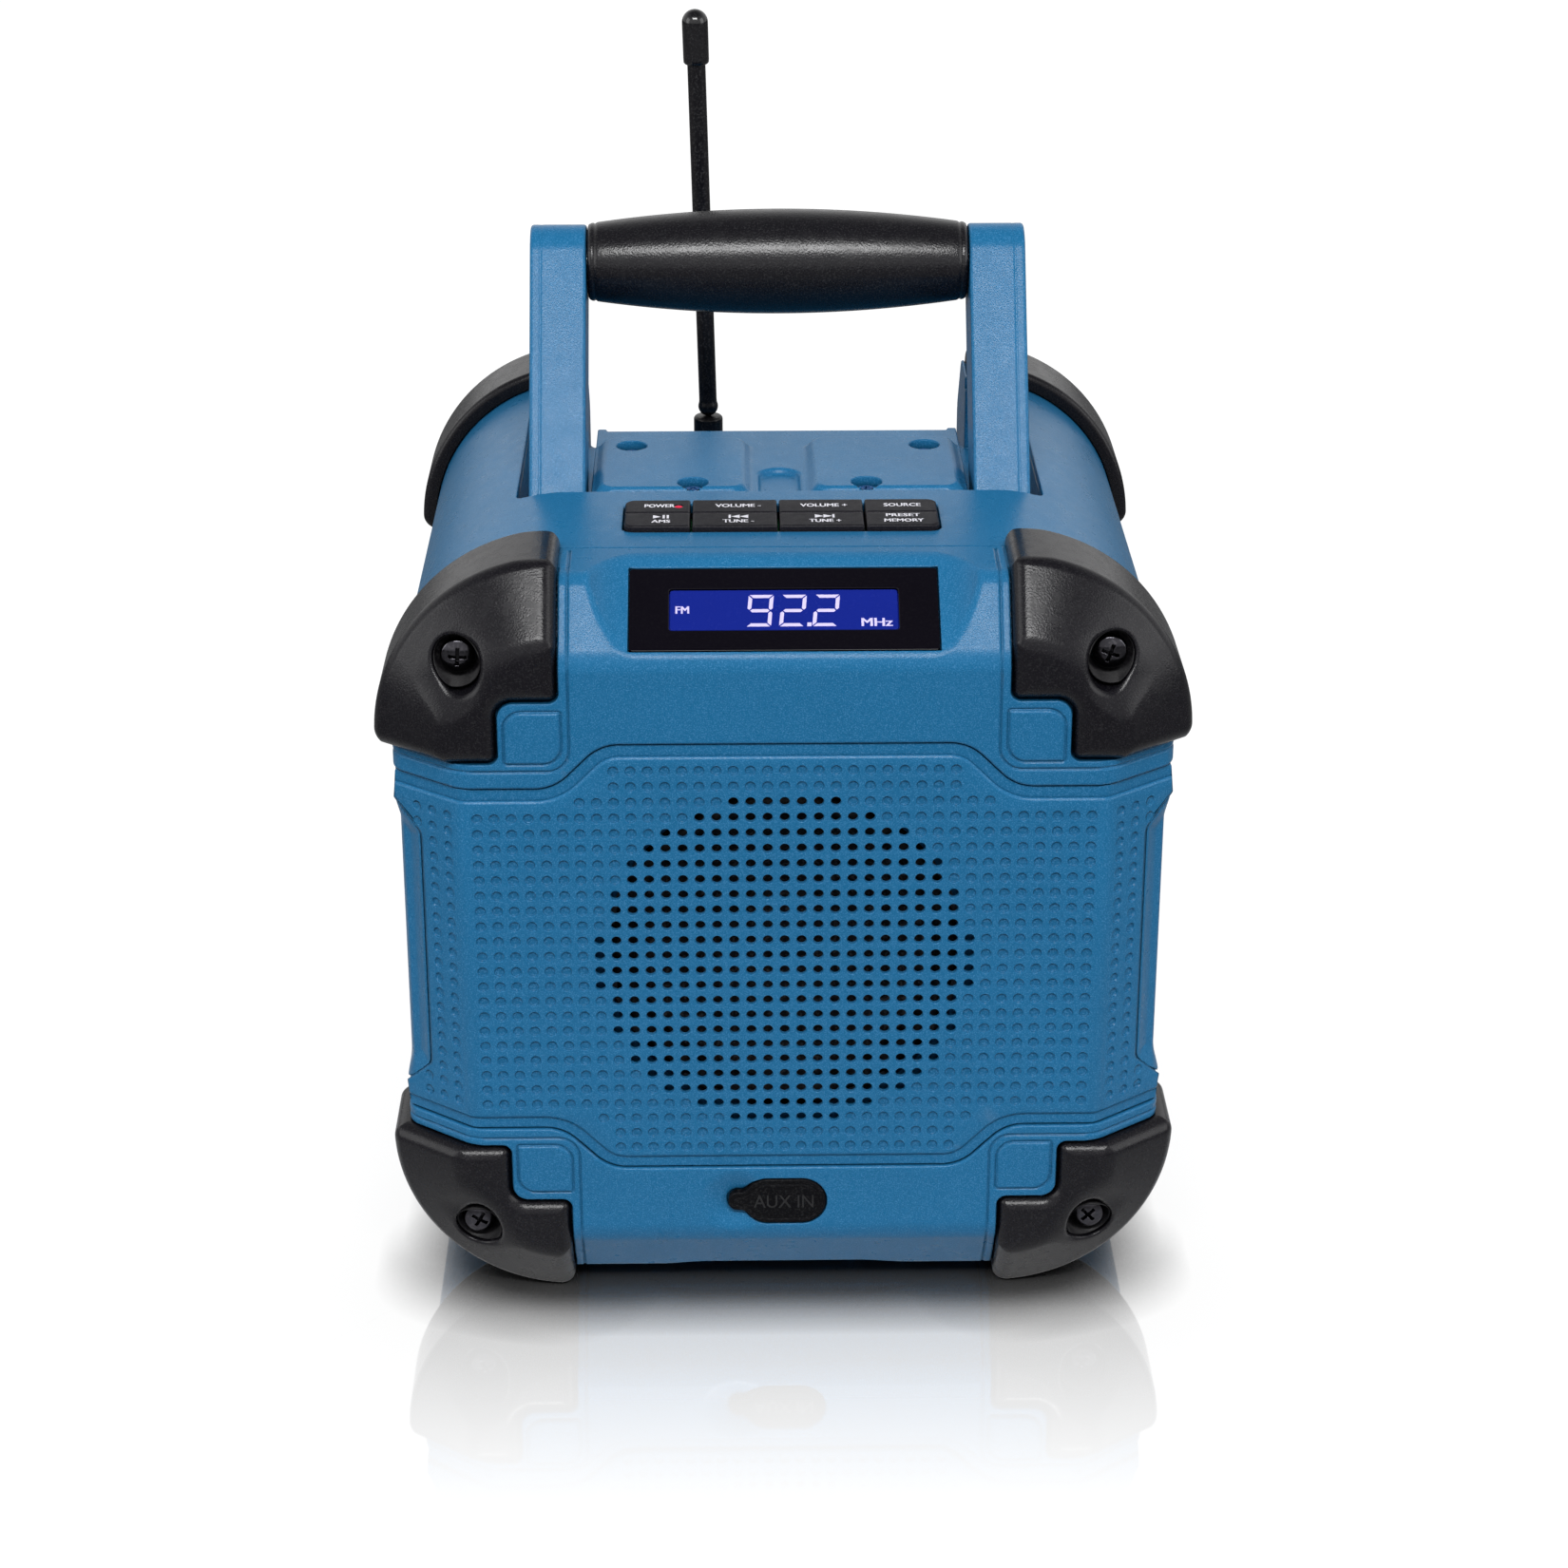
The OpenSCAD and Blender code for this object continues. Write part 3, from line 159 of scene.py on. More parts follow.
def sample(solid, lo, step, size):
    """The field on a grid. Blocks that the surface can't cross hold only its sign."""
    n = [int(math.ceil((s / step + 6) / BLOCK)) for s in size]
    mid = [a + (np.arange(k) * BLOCK + (BLOCK - 1) / 2) * step for a, k in zip(lo, n)]
    f = np.broadcast_to(solid(*np.ix_(*mid)), n)
    field = np.where(f < 0, -1, 1).astype(np.float32)
    for axis in range(3):
        field = np.repeat(field, BLOCK, axis)
    near = np.argwhere(np.abs(f) < BLOCK * step * 1.25)
    blocks = field.reshape(n[0], BLOCK, n[1], BLOCK, n[2], BLOCK).transpose(0, 2, 4, 1, 3, 5)
    off = np.arange(BLOCK)
    for i in range(0, len(near), 4096):
        part = near[i:i + 4096]
        c = [(lo[k] + (part[:, k, None] * BLOCK + off) * step).astype(np.float32)
             for k in range(3)]
        v = solid(c[0][:, :, None, None], c[1][:, None, :, None], c[2][:, None, None, :])
        blocks[tuple(part.T)] = np.where(v == 0, 1e-6, v)
    return field


def surface_net(field, lo, step):
    """Closed mesh of quads on the field's zero surface."""
    inside = field < 0
    count = np.zeros([s - 1 for s in field.shape], np.uint8)
    corner = [(a, b, c) for a in (0, 1) for b in (0, 1) for c in (0, 1)]
    for a, b, c in corner:
        count += inside[a:count.shape[0] + a, b:count.shape[1] + b, c:count.shape[2] + c]
    cell = np.nonzero((count > 0) & (count < 8))
    index = np.full(count.shape, -1, np.int32)
    index[cell] = np.arange(len(cell[0]))
    f = {c: field[tuple(i + k for i, k in zip(cell, c))] for c in corner}
    point = np.zeros((len(cell[0]), 3))
    total = np.zeros(len(point))
    for a in corner:
        for axis in range(3):
            if a[axis]:
                continue
            b = tuple(1 if t == axis else a[t] for t in range(3))
            cross = (f[a] < 0) != (f[b] < 0)
            t = np.where(cross, f[a] / np.where(cross, f[a] - f[b], 1), 0)
            for m in range(3):
                point[:, m] += np.where(cross, t if m == axis else a[m], 0)
            total += cross
    point = (np.stack(cell, 1) + point / total[:, None]) * step + np.array(lo)
    quads = []
    for axis in range(3):
        u, v = [t for t in range(3) if t != axis]
        sa, sb = [slice(1, -1)] * 3, [slice(1, -1)] * 3
        sa[axis], sb[axis] = slice(0, -1), slice(1, None)
        fa = inside[tuple(sa)]
        e = np.array(np.nonzero(fa != inside[tuple(sb)])).T
        up = fa[tuple(e.T)]
        e[:, [u, v]] += 1
        ring = []
        for du, dv in ((0, 0), (1, 0), (1, 1), (0, 1)):
            c = e.copy()
            c[:, u] -= du
            c[:, v] -= dv
            ring.append(index[tuple(c.T)])
        ring = np.stack(ring, 1)
        turn = up if axis != 1 else ~up
        ring[~turn] = ring[~turn][:, ::-1]
        quads.append(ring)
    return point, np.concatenate(quads)


def gradient(solid, p, e=0.04):
    def at(k, d):
        q = p.copy()
        q[:, k] += d
        return solid(*q.T)
    return np.stack([(at(k, e) - at(k, -e)) / (2 * e) for k in range(3)], 1)


def read(items, name, kind, width=1):
    out = np.zeros(len(items) * width, kind)
    items.foreach_get(name, out)
    return out


def carve(solid, lo, hi, step, keep=0.3):
    """Points, faces and normals of a solid given by its distance field."""
    size = [b - a for a, b in zip(lo, hi)]
    lo = [a - 2.37 * step for a in lo]
    ob = mesh_object("raw", *surface_net(sample(solid, lo, step, size), lo, step))
    ob.modifiers.new("fewer", "DECIMATE").ratio = keep
    me = as_mesh(ob)
    tri = read(me.loops, "vertex_index", np.int32)
    sizes = read(me.polygons, "loop_total", np.int32)
    pts = read(me.vertices, "co", np.float32, 3).reshape(-1, 3).astype(float) / MM
    bpy.data.meshes.remove(me)
    for _ in range(2):
        g = gradient(solid, pts)
        s = solid(*pts.T) / np.maximum((g * g).sum(1), 0.3)
        pts -= np.clip(s, -step / 2, step / 2)[:, None] * g
    g = gradient(solid, pts)
    g /= np.maximum(np.linalg.norm(g, axis=1), 1e-6)[:, None]
    return pts, [list(f) for f in np.split(tri, np.cumsum(sizes)[:-1])], g


# ------------------------------------------------------------------ meshes and pieces
def as_mesh(ob):
    """The evaluated mesh of a helper object, which is removed."""
    dg = bpy.context.evaluated_depsgraph_get()
    me = bpy.data.meshes.new_from_object(ob.evaluated_get(dg))
    raw = ob.data
    bpy.data.objects.remove(ob)
    bpy.data.batch_remove([raw])
    return me


def shown(name, data):
    ob = bpy.data.objects.new(name, data)
    bpy.context.scene.collection.objects.link(ob)
    return ob


def mesh_object(name, pts, faces, normals=None, smooth_faces=True):
    """Object made from points in millimetres."""
    me = bpy.data.meshes.new(name)
    me.vertices.add(len(pts))
    me.vertices.foreach_set("co", (np.asarray(pts, np.float32) * MM).ravel())
    sizes = [len(f) for f in faces]
    me.loops.add(sum(sizes))
    me.loops.foreach_set("vertex_index", np.concatenate(faces).astype(np.int32))
    me.polygons.add(len(sizes))
    me.polygons.foreach_set("loop_start", np.cumsum([0] + sizes[:-1]).astype(np.int32))
    me.update(calc_edges=True)
    me.polygons.foreach_set("use_smooth", np.full(len(sizes), smooth_faces))
    if normals is not None:
        me.normals_split_custom_set_from_vertices(np.asarray(normals, np.float32))
    return shown(name, me)


def move(*at):
    return Matrix.Translation(at)


def turn(degrees, axis):
    return Matrix.Rotation(math.radians(degrees), 4, axis)


def mirror(sx=1, sy=1, sz=1):
    """Mirrors about the casing's middle planes where a sign is -1."""
    return move(0, 0, (1 - sz) * MID_Z) @ Matrix.Diagonal((sx, sy, sz, 1))


def moved(made, place):
    """Points, faces and any normals, moved by a matrix that may mirror them."""
    pts, faces, *normals = made
    m = np.array(place)
    if np.linalg.det(m) < 0:
        faces = [f[::-1] for f in faces]
    return (pts @ m[:3, :3].T + m[:3, 3], faces, *[n @ m[:3, :3].T for n in normals])


def gathered(parts):
    """Several shapes as one."""
    pts, faces, *normals = zip(*parts)
    start = np.cumsum([0] + [len(p) for p in pts])
    joined = [[int(i) + s for i in f] for fs, s in zip(faces, start) for f in fs]
    return (np.concatenate(pts), joined, *[np.concatenate(n) for n in normals])


def piece(name, body, slot, made, nodes=(), mat=None, place=None, smooth_faces=True):
    """A mesh with its body, its finish and the nodes that it stands for."""
    ob = mesh_object(name, *(moved(made, place) if place else made), smooth_faces=smooth_faces)
    ob.data.materials.append(MATERIALS[mat or slot])
    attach(ob, body)
    if nodes:
        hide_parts(*nodes)
    return ob


def weld(ob, distance=0.002):
    """Joins points closer than a distance in millimetres, and turns the faces outwards."""
    bm = bmesh.new()
    bm.from_mesh(ob.data)
    bmesh.ops.remove_doubles(bm, verts=bm.verts, dist=distance * MM)
    bmesh.ops.dissolve_degenerate(bm, dist=distance * MM, edges=bm.edges)
    bmesh.ops.recalc_face_normals(bm, faces=bm.faces)
    bm.to_mesh(ob.data)
    bm.free()


def circle(n):
    return [2 * math.pi * k / n for k in range(n)]


def strips(loops, closed=False):
    """Skin over loops of equal length, each a list of (x, y, z)."""
    n = len(loops[0])
    faces = []
    for a in range(len(loops) - (not closed)):
        b = (a + 1) % len(loops)
        faces += [[a * n + i, a * n + (i + 1) % n, b * n + (i + 1) % n, b * n + i]
                  for i in range(n)]
    return np.array([p for lp in loops for p in lp]), faces


def lathe_piece(name, body, slot, nodes, profile, place, mat=None, steps=48):
    """An outline of (radius, height) turned about z."""
    made = strips([[(r * math.cos(a), r * math.sin(a), h) for a in circle(steps)]
                   for r, h in profile])
    ob = piece(name, body, slot, made, nodes, mat, place)
    weld(ob)
    ob.data.set_sharp_from_angle(angle=math.radians(42))


def arc(cx, cy, r, a0, a1, n=6):
    """Points on an arc, angles in degrees."""
    return [(cx + r * math.cos(math.radians(a0 + (a1 - a0) * i / n)),
             cy + r * math.sin(math.radians(a0 + (a1 - a0) * i / n))) for i in range(n + 1)]


# ------------------------------------------------------------------ materials
MATERIALS = {}


def node(tree, kind, sockets, out=0, **settings):
    """Adds a node with sockets set or linked by name or number, and returns an output."""
    n = tree.nodes.new("ShaderNode" + kind)
    for key, v in settings.items():
        setattr(n, key, v)
    for key, v in sockets.items():
        if isinstance(v, bpy.types.NodeSocket):
            tree.links.new(v, n.inputs[key])
        else:
            n.inputs[key].default_value = v
    return n.outputs[out] if len(n.outputs) else n


def maths(tree, operation, a, b=0.5):
    return node(tree, "Math", {0: a, 1: b}, operation=operation)


def lin(rgb):
    """Linear colour from 0-255 sRGB values."""
    return tuple(c / 12.92 if c <= 0.04045 else ((c + 0.055) / 1.055) ** 2.4
                 for c in (v / 255 for v in rgb))


def finish(name, srgb, rough, fleck, bump, mottle=(60, 0.05), spec=0.5, ior=1.5, metal=0.0,
           wear_and_highlight=0.0, vary=0.08, streak=(1, 1, 1), crevice_shade=None, light=0.0):
    """A moulded or machined finish: flecks, slow colour drift, grain, paler edges that are partly
    wear and partly a painted edge highlight, and painted shade in creases and recesses.

    Pairs are noise scales with their amounts; the pair for painted crevice shade is a reach in
    millimetres and an amount."""
    color = lin(srgb)
    m = MATERIALS[name] = bpy.data.materials.new(name)
    m.use_nodes = True
    t = m.node_tree
    where = node(t, "TexCoord", {}, "Object")
    where = node(t, "Mapping", {"Vector": where, "Scale": streak})

    def noise(scale, detail):
        return node(t, "TexNoise", {"Vector": where, "Scale": scale, "Detail": detail})

    def ranged(v, lo, hi, a, b):
        return node(t, "MapRange", {0: v, 1: lo, 2: hi, 3: a, 4: b})

    def mixed(fac, a, b):
        return node(t, "Mix", {0: fac, 6: a, 7: b}, 2, data_type="RGBA")

    def shade(k, lift=0.0):
        return (*[min(1, c * k + lift) for c in color], 1)

    fine = noise(fleck[0], 1.5)
    col = mixed(ranged(noise(mottle[0], 3), 0.3, 0.7, 0, 1), shade(1 - mottle[1]),
                shade(1 + mottle[1]))
    col = mixed(ranged(fine, 0.52, 0.68, 0, 1), col, shade(1 + fleck[1], 0.105 * fleck[1]))
    col = mixed(ranged(fine, 0.28, 0.42, 0.6, 0), col, shade(1 - fleck[1] * 0.7))
    # Paler convex edges: worn edges that also serve as a painted edge highlight.
    if wear_and_highlight:
        edge = ranged(node(t, "NewGeometry", {}, "Pointiness"), 0.53, 0.62, 0, wear_and_highlight)
        patches = ranged(noise(400, 3), 0.35, 0.65, 0.2, 1)
        col = mixed(maths(t, "MULTIPLY", edge, patches), col, shade(0.7, 0.14))
    # Painted shade: the colour darkens towards near-black where ambient occlusion finds creases,
    # grooves and deep wells.
    if crevice_shade:
        near = node(t, "AmbientOcclusion", {"Distance": crevice_shade[0] * MM}, "AO", samples=6)
        col = mixed(ranged(near, 0.35, 0.9, crevice_shade[1], 0), col, shade(0.12))
    grain = node(t, "Bump", {"Strength": 1.0, "Distance": bump[1] * MM,
                             "Height": noise(bump[0], 0)})
    b = t.nodes["Principled BSDF"].inputs
    for key, v in (("Metallic", metal), ("Specular IOR Level", spec), ("IOR", ior),
                   ("Emission Color", (*color, 1) if light else (1, 1, 1, 1)),
                   ("Emission Strength", light)):
        b[key].default_value = v
    drift = ranged(noise(mottle[0] * 6, 4), 0.3, 0.7, rough - vary / 2, rough + vary / 2)
    for key, v in (("Base Color", col), ("Roughness", drift), ("Normal", grain)):
        t.links.new(v, b[key])


finish("blue_plastic", (26, 98, 141), 0.30, (3000, 0.30), (2900, 0.045), (35, 0.03), spec=0.17,
       wear_and_highlight=0.15, crevice_shade=(2.2, 0.7))
finish("bumper_rubber", (15, 14, 19), 0.26, (2400, 0.10), (2200, 0.03), (50, 0.06), spec=0.7,
       wear_and_highlight=0.03, crevice_shade=(8, 0.95), ior=1.25)
finish("grip_rubber", (12, 11, 16), 0.26, (2200, 0.12), (2000, 0.045), (45, 0.06), spec=0.95,
       wear_and_highlight=0.02, ior=1.27)
finish("seal_rubber", (20, 20, 22), 0.6, (1500, 0.2), (1500, 0.02))
finish("flap_rubber", (8, 8, 11), 0.5, (2200, 0.12), (2200, 0.02), spec=0.2, ior=1.25, wear_and_highlight=0.1)
finish("key_rubber", (19, 18, 24), 0.45, (2400, 0.12), (2400, 0.014), spec=0.4, ior=1.25,
       wear_and_highlight=0.12)
finish("antenna_rubber", (10, 9, 13), 0.34, (1800, 0.2), (1600, 0.010), spec=0.25)
finish("black_plastic", (26, 26, 29), 0.45, (1500, 0.25), (1700, 0.02), wear_and_highlight=0.1)
finish("screw_steel", (150, 152, 158), 0.28, (900, 0.15), (900, 0.01), (300, 0.12), metal=1.0,
       vary=0.15)
finish("plain_steel", (172, 174, 178), 0.33, (900, 0.12), (1200, 0.006), (150, 0.08), metal=1.0,
       vary=0.15, streak=(0.12, 1, 1))
finish("jack_metal", (196, 196, 192), 0.25, (900, 0.08), (900, 0.005), (300, 0.06), metal=1.0,
       vary=0.12)
finish("basket_metal", (64, 66, 70), 0.42, (900, 0.2), (900, 0.02), (120, 0.1), metal=0.9)
finish("circuit_board", (24, 92, 52), 0.35, (500, 0.25), (500, 0.02), (220, 0.25))
finish("component_metal", (120, 122, 126), 0.35, (700, 0.15), (900, 0.01), (200, 0.12),
       metal=0.85, streak=(1, 1, 0.1))
finish("surround_rubber", (24, 24, 26), 0.55, (1600, 0.2), (1600, 0.02))
finish("paper_cone", (44, 44, 47), 0.8, (900, 0.4), (650, 0.12), (260, 0.2), spec=0.2)
finish("display_black", (10, 8, 15), 0.16, (1500, 0.012), (500, 0.001), (40, 0.05), spec=0.10,
       vary=0.03)
finish("battery_jacket", (52, 84, 110), 0.3, (800, 0.1), (400, 0.01), (60, 0.15),
       streak=(0.1, 1, 1))
finish("label_white", (225, 224, 232), 0.5, (1800, 0.06), (1800, 0.004))
finish("well_blue", (22, 70, 120), 0.45, (1900, 0.2), (1900, 0.02))
# Steel darkened as painted shade, for the screws deep in the bumper wells.
finish("shade_darkened_screw", (70, 69, 74), 0.16, (900, 0.2), (900, 0.01), (300, 0.2), metal=1.0,
       vary=0.12, crevice_shade=(6, 0.8))
finish("tip_rubber", (10, 9, 13), 0.18, (1800, 0.1), (1200, 0.004))
# Near-black for the liners that paint the deep shade in the screw wells.
finish("well_shade_black", (8, 7, 10), 0.5, (1800, 0.1), (1500, 0.01), spec=0.2)
finish("flap_mark", (8, 8, 10), 0.35, (1800, 0.1), (1200, 0.004))
for name, srgb, light in (("display_blue", (14, 28, 110), 0.42),
                          ("segment_light", (182, 174, 214), 0.36),
                          ("red_lens", (196, 38, 66), 0.35)):
    finish(name, srgb, 0.25, (1800, 0.01), (900, 0.004), (90, 0.03), spec=0.1, light=light)

NODE_SLOT = {row["node"]: row["material_slot"] for row in frame["record"]["subparts"]}


# ------------------------------------------------------------------ outline of the grille
CREASE = 85.2
GRILLE_Z = 108.0
GRILLE_LOW, GRILLE_TALL = 50.8, 63.3
STEP_OUT, STEP_IN = 60.7, 48.2
SCOOP_X, SCOOP_H = 99.5, 34.5
UNROLL = 0.7959  # width of the chamfer over its slope length


def grille_corners(end, side=()):
    """Corners of the outline, anticlockwise; side gives heights of more corners at u = end."""
    bottom = [(-end, -GRILLE_LOW), (-STEP_OUT, -GRILLE_LOW), (-STEP_IN, -GRILLE_TALL)]
    bottom += [(-u, z) for u, z in bottom[::-1]]
    half = (bottom + [(end, -z) for z in side] + [(SCOOP_X, -SCOOP_H), (SCOOP_X, SCOOP_H)]
            + [(end, z) for z in side])
    return half + [(-u, -z) for u, z in half]


def inset_polygon(pts, by):
    """Moves each edge of an anticlockwise polygon inwards by its own distance."""
    lines = []
    for i, a in enumerate(pts):
        e = np.subtract(pts[(i + 1) % len(pts)], a)
        d = e / np.linalg.norm(e)
        lines.append((a + np.array([-d[1], d[0]]) * by[i], d))
    out = []
    for (p, d), (q, e) in zip(lines[-1:] + lines, lines):
        out.append(p + d * np.linalg.solve(np.array([d, -e]).T, q - p)[0])
    return out


def fillet(pts, radii, n=6, stops=()):
    """Rounds a polygon's corners, and adds points where it crosses the given u."""
    out = []
    for i, r in enumerate(radii):
        p, a, b = np.array(pts[i]), np.array(pts[i - 1]), np.array(pts[(i + 1) % len(pts)])
        u, v = (a - p) / np.linalg.norm(a - p), (b - p) / np.linalg.norm(b - p)
        half = math.acos(np.clip(u @ v, -1, 1)) / 2
        c = p + (u + v) / np.linalg.norm(u + v) * r / math.sin(half)
        s, e = (p + w * r / math.tan(half) - c for w in (u, v))
        for j in range(n + 1):
            w = s * (1 - j / n) + e * j / n
            out.append(c + w / np.linalg.norm(w) * r)
    full = []
    for a, b in zip(out, out[1:] + out[:1]):
        hits = sorted((c - a[0]) / (b[0] - a[0]) for c in stops
                      if (a[0] - c) * (b[0] - c) < -1e-9)
        full += [a] + [a + (b - a) * h for h in hits]
    return np.array(full)


def in_polygon(p, loop):
    x, y = p[:, 0], p[:, 1]
    inside = np.zeros(len(p), bool)
    for (ax, ay), (bx, by) in zip(loop, np.roll(loop, -1, 0)):
        if ay != by:
            inside ^= ((ay > y) != (by > y)) & (x < (bx - ax) * (y - ay) / (by - ay) + ax)
    return inside


def distance_table(loop):
    """Distances to a loop about (0, 0) on a grid of its first quarter, negative inside."""
    u, z = np.meshgrid(np.arange(0, 122, 0.25), np.arange(0, 112, 0.25), indexing="ij")
    p = np.column_stack([u.ravel(), z.ravel()])
    d = np.full(len(p), 1e9)
    for a, b in zip(loop, np.roll(loop, -1, 0)):
        e = b - a
        if e @ e > 1e-12:
            t = np.clip(((p - a) @ e) / (e @ e), 0, 1)
            d = np.minimum(d, ((p - a - t[:, None] * e) ** 2).sum(1))
    return (np.sqrt(d) * np.where(in_polygon(p, loop), -1, 1)).reshape(u.shape)


GRILLE_TABLE = distance_table(fillet(grille_corners(118), [0.6, 12, 12, 12, 12, 0.6, 3, 3] * 2,
                                     10))


def grille_outline(x, z):
    """Distance to the grille's outline on the unrolled front, negative inside."""
    ax = np.abs(x)
    u = np.where(ax < CREASE, ax, CREASE + (ax - CREASE) / UNROLL)
    u, v = np.clip(u * 4, 0, 484), np.clip(np.abs(z - GRILLE_Z) * 4, 0, 440)
    i, j = u.astype(int), v.astype(int)
    s, t = u - i, v - j
    g = GRILLE_TABLE
    return ((g[i, j] * (1 - s) + g[i + 1, j] * s) * (1 - t)
            + (g[i, j + 1] * (1 - s) + g[i + 1, j + 1] * s) * t)


# ------------------------------------------------------------------ casing forms
def section(x, z, grow=0.0):
    return round_rect(x, z - MID_Z, HALF_W + grow, TOP_Z - MID_Z + grow, CORNER_R + grow)


def front_form(x, y, z, face, grow=0.0, rim_r=2.6, face_r=2.2):
    """Front half of the casing as a solid with a chamfered face at y = -face."""
    d = section(x, z, grow)
    chamfer = (d * CHAMFER_D + (CHAMFER_D - face - y) * CHAMFER_W) / CHAMFER_L
    return rmax(rmax(d, chamfer, rim_r), -y - face, face_r)


def seat_form(x, y, z):
    return front_form(x, y, z, SEAT_Y)


def bumper_outline(x, z, grow=0.0):
    """Outline of the top right bumper, negative inside."""
    return rmin(rmax(59 - x, 183.4 - z, 2.5), rmax(75.2 - x, 166.2 - z, 2.5), 4.5) - grow


def up(z):
    """Height folded to the upper half."""
    return np.abs(z - MID_Z) + MID_Z


def display_axes(y, z):
    """Height above the display slope, and distance up it from its front edge."""
    c, s = math.cos(SLOPE_A), math.sin(SLOPE_A)
    dy, dz = y + FACE_Y, z - SLOPE_Z
    return dz * c - dy * s, dy * c + dz * s


def flap_outline(x, z, grow=0.0):
    """Outline of a socket flap about its middle: a pill with a small pull tab."""
    pill = round_rect(x, z, 11.4 + grow, 6.85 + grow, 6.84 + grow)
    tab = round_rect(x + 11.7, z, 3.9 + grow, 2.8 + grow, 2.6 + grow)
    return rmin(pill, tab, 1.2)


def screw_posts(x, z, r):
    return rod_y(np.abs(x), up(z), SCREW_X, SCREW_Z, r)


def corner_grooves(ax, y, az):
    """Grooves beside a bumper and round the pad in its inner corner."""
    frame_line = rmax(56.3 - ax, 163.8 - az, 6.0)
    pad = rmax(rmax(58.3 - ax, 165.9 - az, 5.0), rmax(ax - 73.4, az - 180.8, 5.0), 0.7)
    low = smooth(-pad / 1.0) * 0.35
    return (groove(frame_line, 0.6, 0.5) + groove(pad, 0.6, 0.4) - low) * (y < -SEAM_Y - 2)


def begun(f, x, y, z):
    """A shell's form with the grooves and pockets of its bumpers."""
    ax = np.abs(x)
    f = f + corner_grooves(ax, y, up(z))
    return rcut(f, inter(bumper_outline(ax, up(z), 0.3), -seat_form(x, y, z)), 0.4)


def hollowed(f, x, y, z, socket, *ribs):
    """A shell without its inside, in which screw posts, a socket's pad and ribs stay."""
    pad = box3(x - socket[0], y, z - socket[1], (-18.6, -FACE_Y, -9.8), (14.4, -97.4, 9.8))
    inside = front_form(x, y, z, INNER_Y, -WALL, 2.0, 1.5)
    return cut(f, cut(inside, screw_posts(x, z, 8.5), pad, *ribs))


def ended(f, x, y, z, socket, hole_r):
    """A shell with its flap's pocket, socket hole, screw wells and flat seam."""
    flap = flap_outline(x - socket[0], z - socket[1], 0.3)
    f = rcut(f, inter(flap, y + FACE_Y - 2.7), 0.35)
    f = cut(f, rod_y(x, z, *socket, hole_r), screw_posts(x, z, 2.1),
            inter(screw_posts(x, z, WELL_R), y + WELL_FLOOR_Y))
    return rmax(f, y + SEAM_Y, 0.35)


def front_bezel(x, y, z):
    ax = np.abs(x)
    h, v = display_axes(y, z)
    # Display recess, blended softly into the casing
    recess = rmax(-h, (ax - 45.1 - 0.855 * h) / 1.316, 5.0)
    f = begun(rcut(front_form(x, y, z, FACE_Y), recess, 1.1), x, y, z)
    # Scoops in the sides and the grille's seat
    g = grille_outline(x, z)
    scoop = smooth((ax - 96.5) / 2) * (np.abs(z - GRILLE_Z) < 43.5)
    f = f + 1.8 * smooth(g / 4.5) * scoop * smooth((-79 - y) / 6)
    f = rcut(f, inter(g - 0.12 + 0.2 * scoop, -seat_form(x, y, z)), 0.75 - 0.7 * scoop)
    f = hollowed(f, x, y, z, AUX, -h - 5)
    window = box3(x, v - WINDOW_V, h, (-40.6, -13.55, -2), (40.6, 13.55, 9))
    lcd = box3(x, v - WINDOW_V, h, (-31.3, -7.5, -20), (31.3, 7.5, 9))
    f = rcut(f, union(window, lcd), 0.25)
    f = rcut(f, rod_y(x, z, 0, MID_Z, 48), 0.5)
    # Finger scoop round the flap's tab, and the low cut-out in the lower edge
    dish = np.sqrt((x + 13.5) ** 2 + (z - AUX[1]) ** 2 + (y + FACE_Y + 12.2) ** 2) - 14.4
    slant = (z - 7.0) * 0.964 + (ax - 26.4) * 0.267
    foot = inter(rmax(z - 7.0, slant, 1.0), y + RIM_Y - 4)
    return ended(rcut(rcut(f, dish, 1.5), foot, 0.8), x, y, z, AUX, 4.1)


def rear_housing(x, y, z):
    """Rear shell, drawn as if it were at the front."""
    y = -y
    ax = np.abs(x)
    f = begun(front_form(x, y, z, FACE_Y), x, y, z)
    # Notch for the folded grip, with a floor that drops towards the face
    fall = (z - NOTCH_Z + np.clip(-y - RIM_Y, 0, 20) * 8 / 15.3) * 0.9
    low = box3(x, y, z, (-61, -INNER_Y, 33), (61, -100.4, 40.7))
    f = hollowed(f, x, y, z, DC, rmax(ax - 60.8, -fall - WALL, 1.0), low)
    f = rcut(f, rmax(ax - 57.8, -fall, 2.0), 0.6)
    door = box3(x, y, z, (-56.3, -130, DOOR_Z0), (56.3, -106.3, 137.1))
    barrel = box3(x, y, z, (-56.3, -130, 35.7), (56.3, -103.1, 42.3))
    f = rcut(f, union(door, barrel), 0.35)
    bay = box3(x, y, z, (-54, -130, 43), (54, -102.4, 124.8))
    stud = np.hypot(x - ANTENNA[0], -y - ANTENNA[1]) - PIN_R
    f = cut(f, bay, inter(rod_y(x, z, 0, COIN_Z, 3.8), y + 104), inter(stud, 175 - z))
    return ended(f, x, y, z, DC, 5.1)


def bumper(x, y, z):
    crease = 1.8 + 7.5 * smooth((np.abs(x) - 72) / 14) * smooth((z - 177) / 12)
    f = front_form(x, y, z - 0.5, BUMPER_Y, BUMPER_OUT, 1.9, crease)
    f = rmax(f, bumper_outline(x, z), 4.6)
    f = rmax(rmax(f, z - 218, 0.8), y + 72, 1.8)
    f = cut(f, seat_form(x, y, z), inter(section(x, z, 0.3), -y - SEAM_Y))
    # The screw well has a mouth that is taller than wide
    tall = 1 + 0.3 * smooth((-103.5 - y) / 5)
    return rcut(f, np.hypot(x - SCREW_X, (z - SCREW_Z) / tall) - 6.45, 1.2)


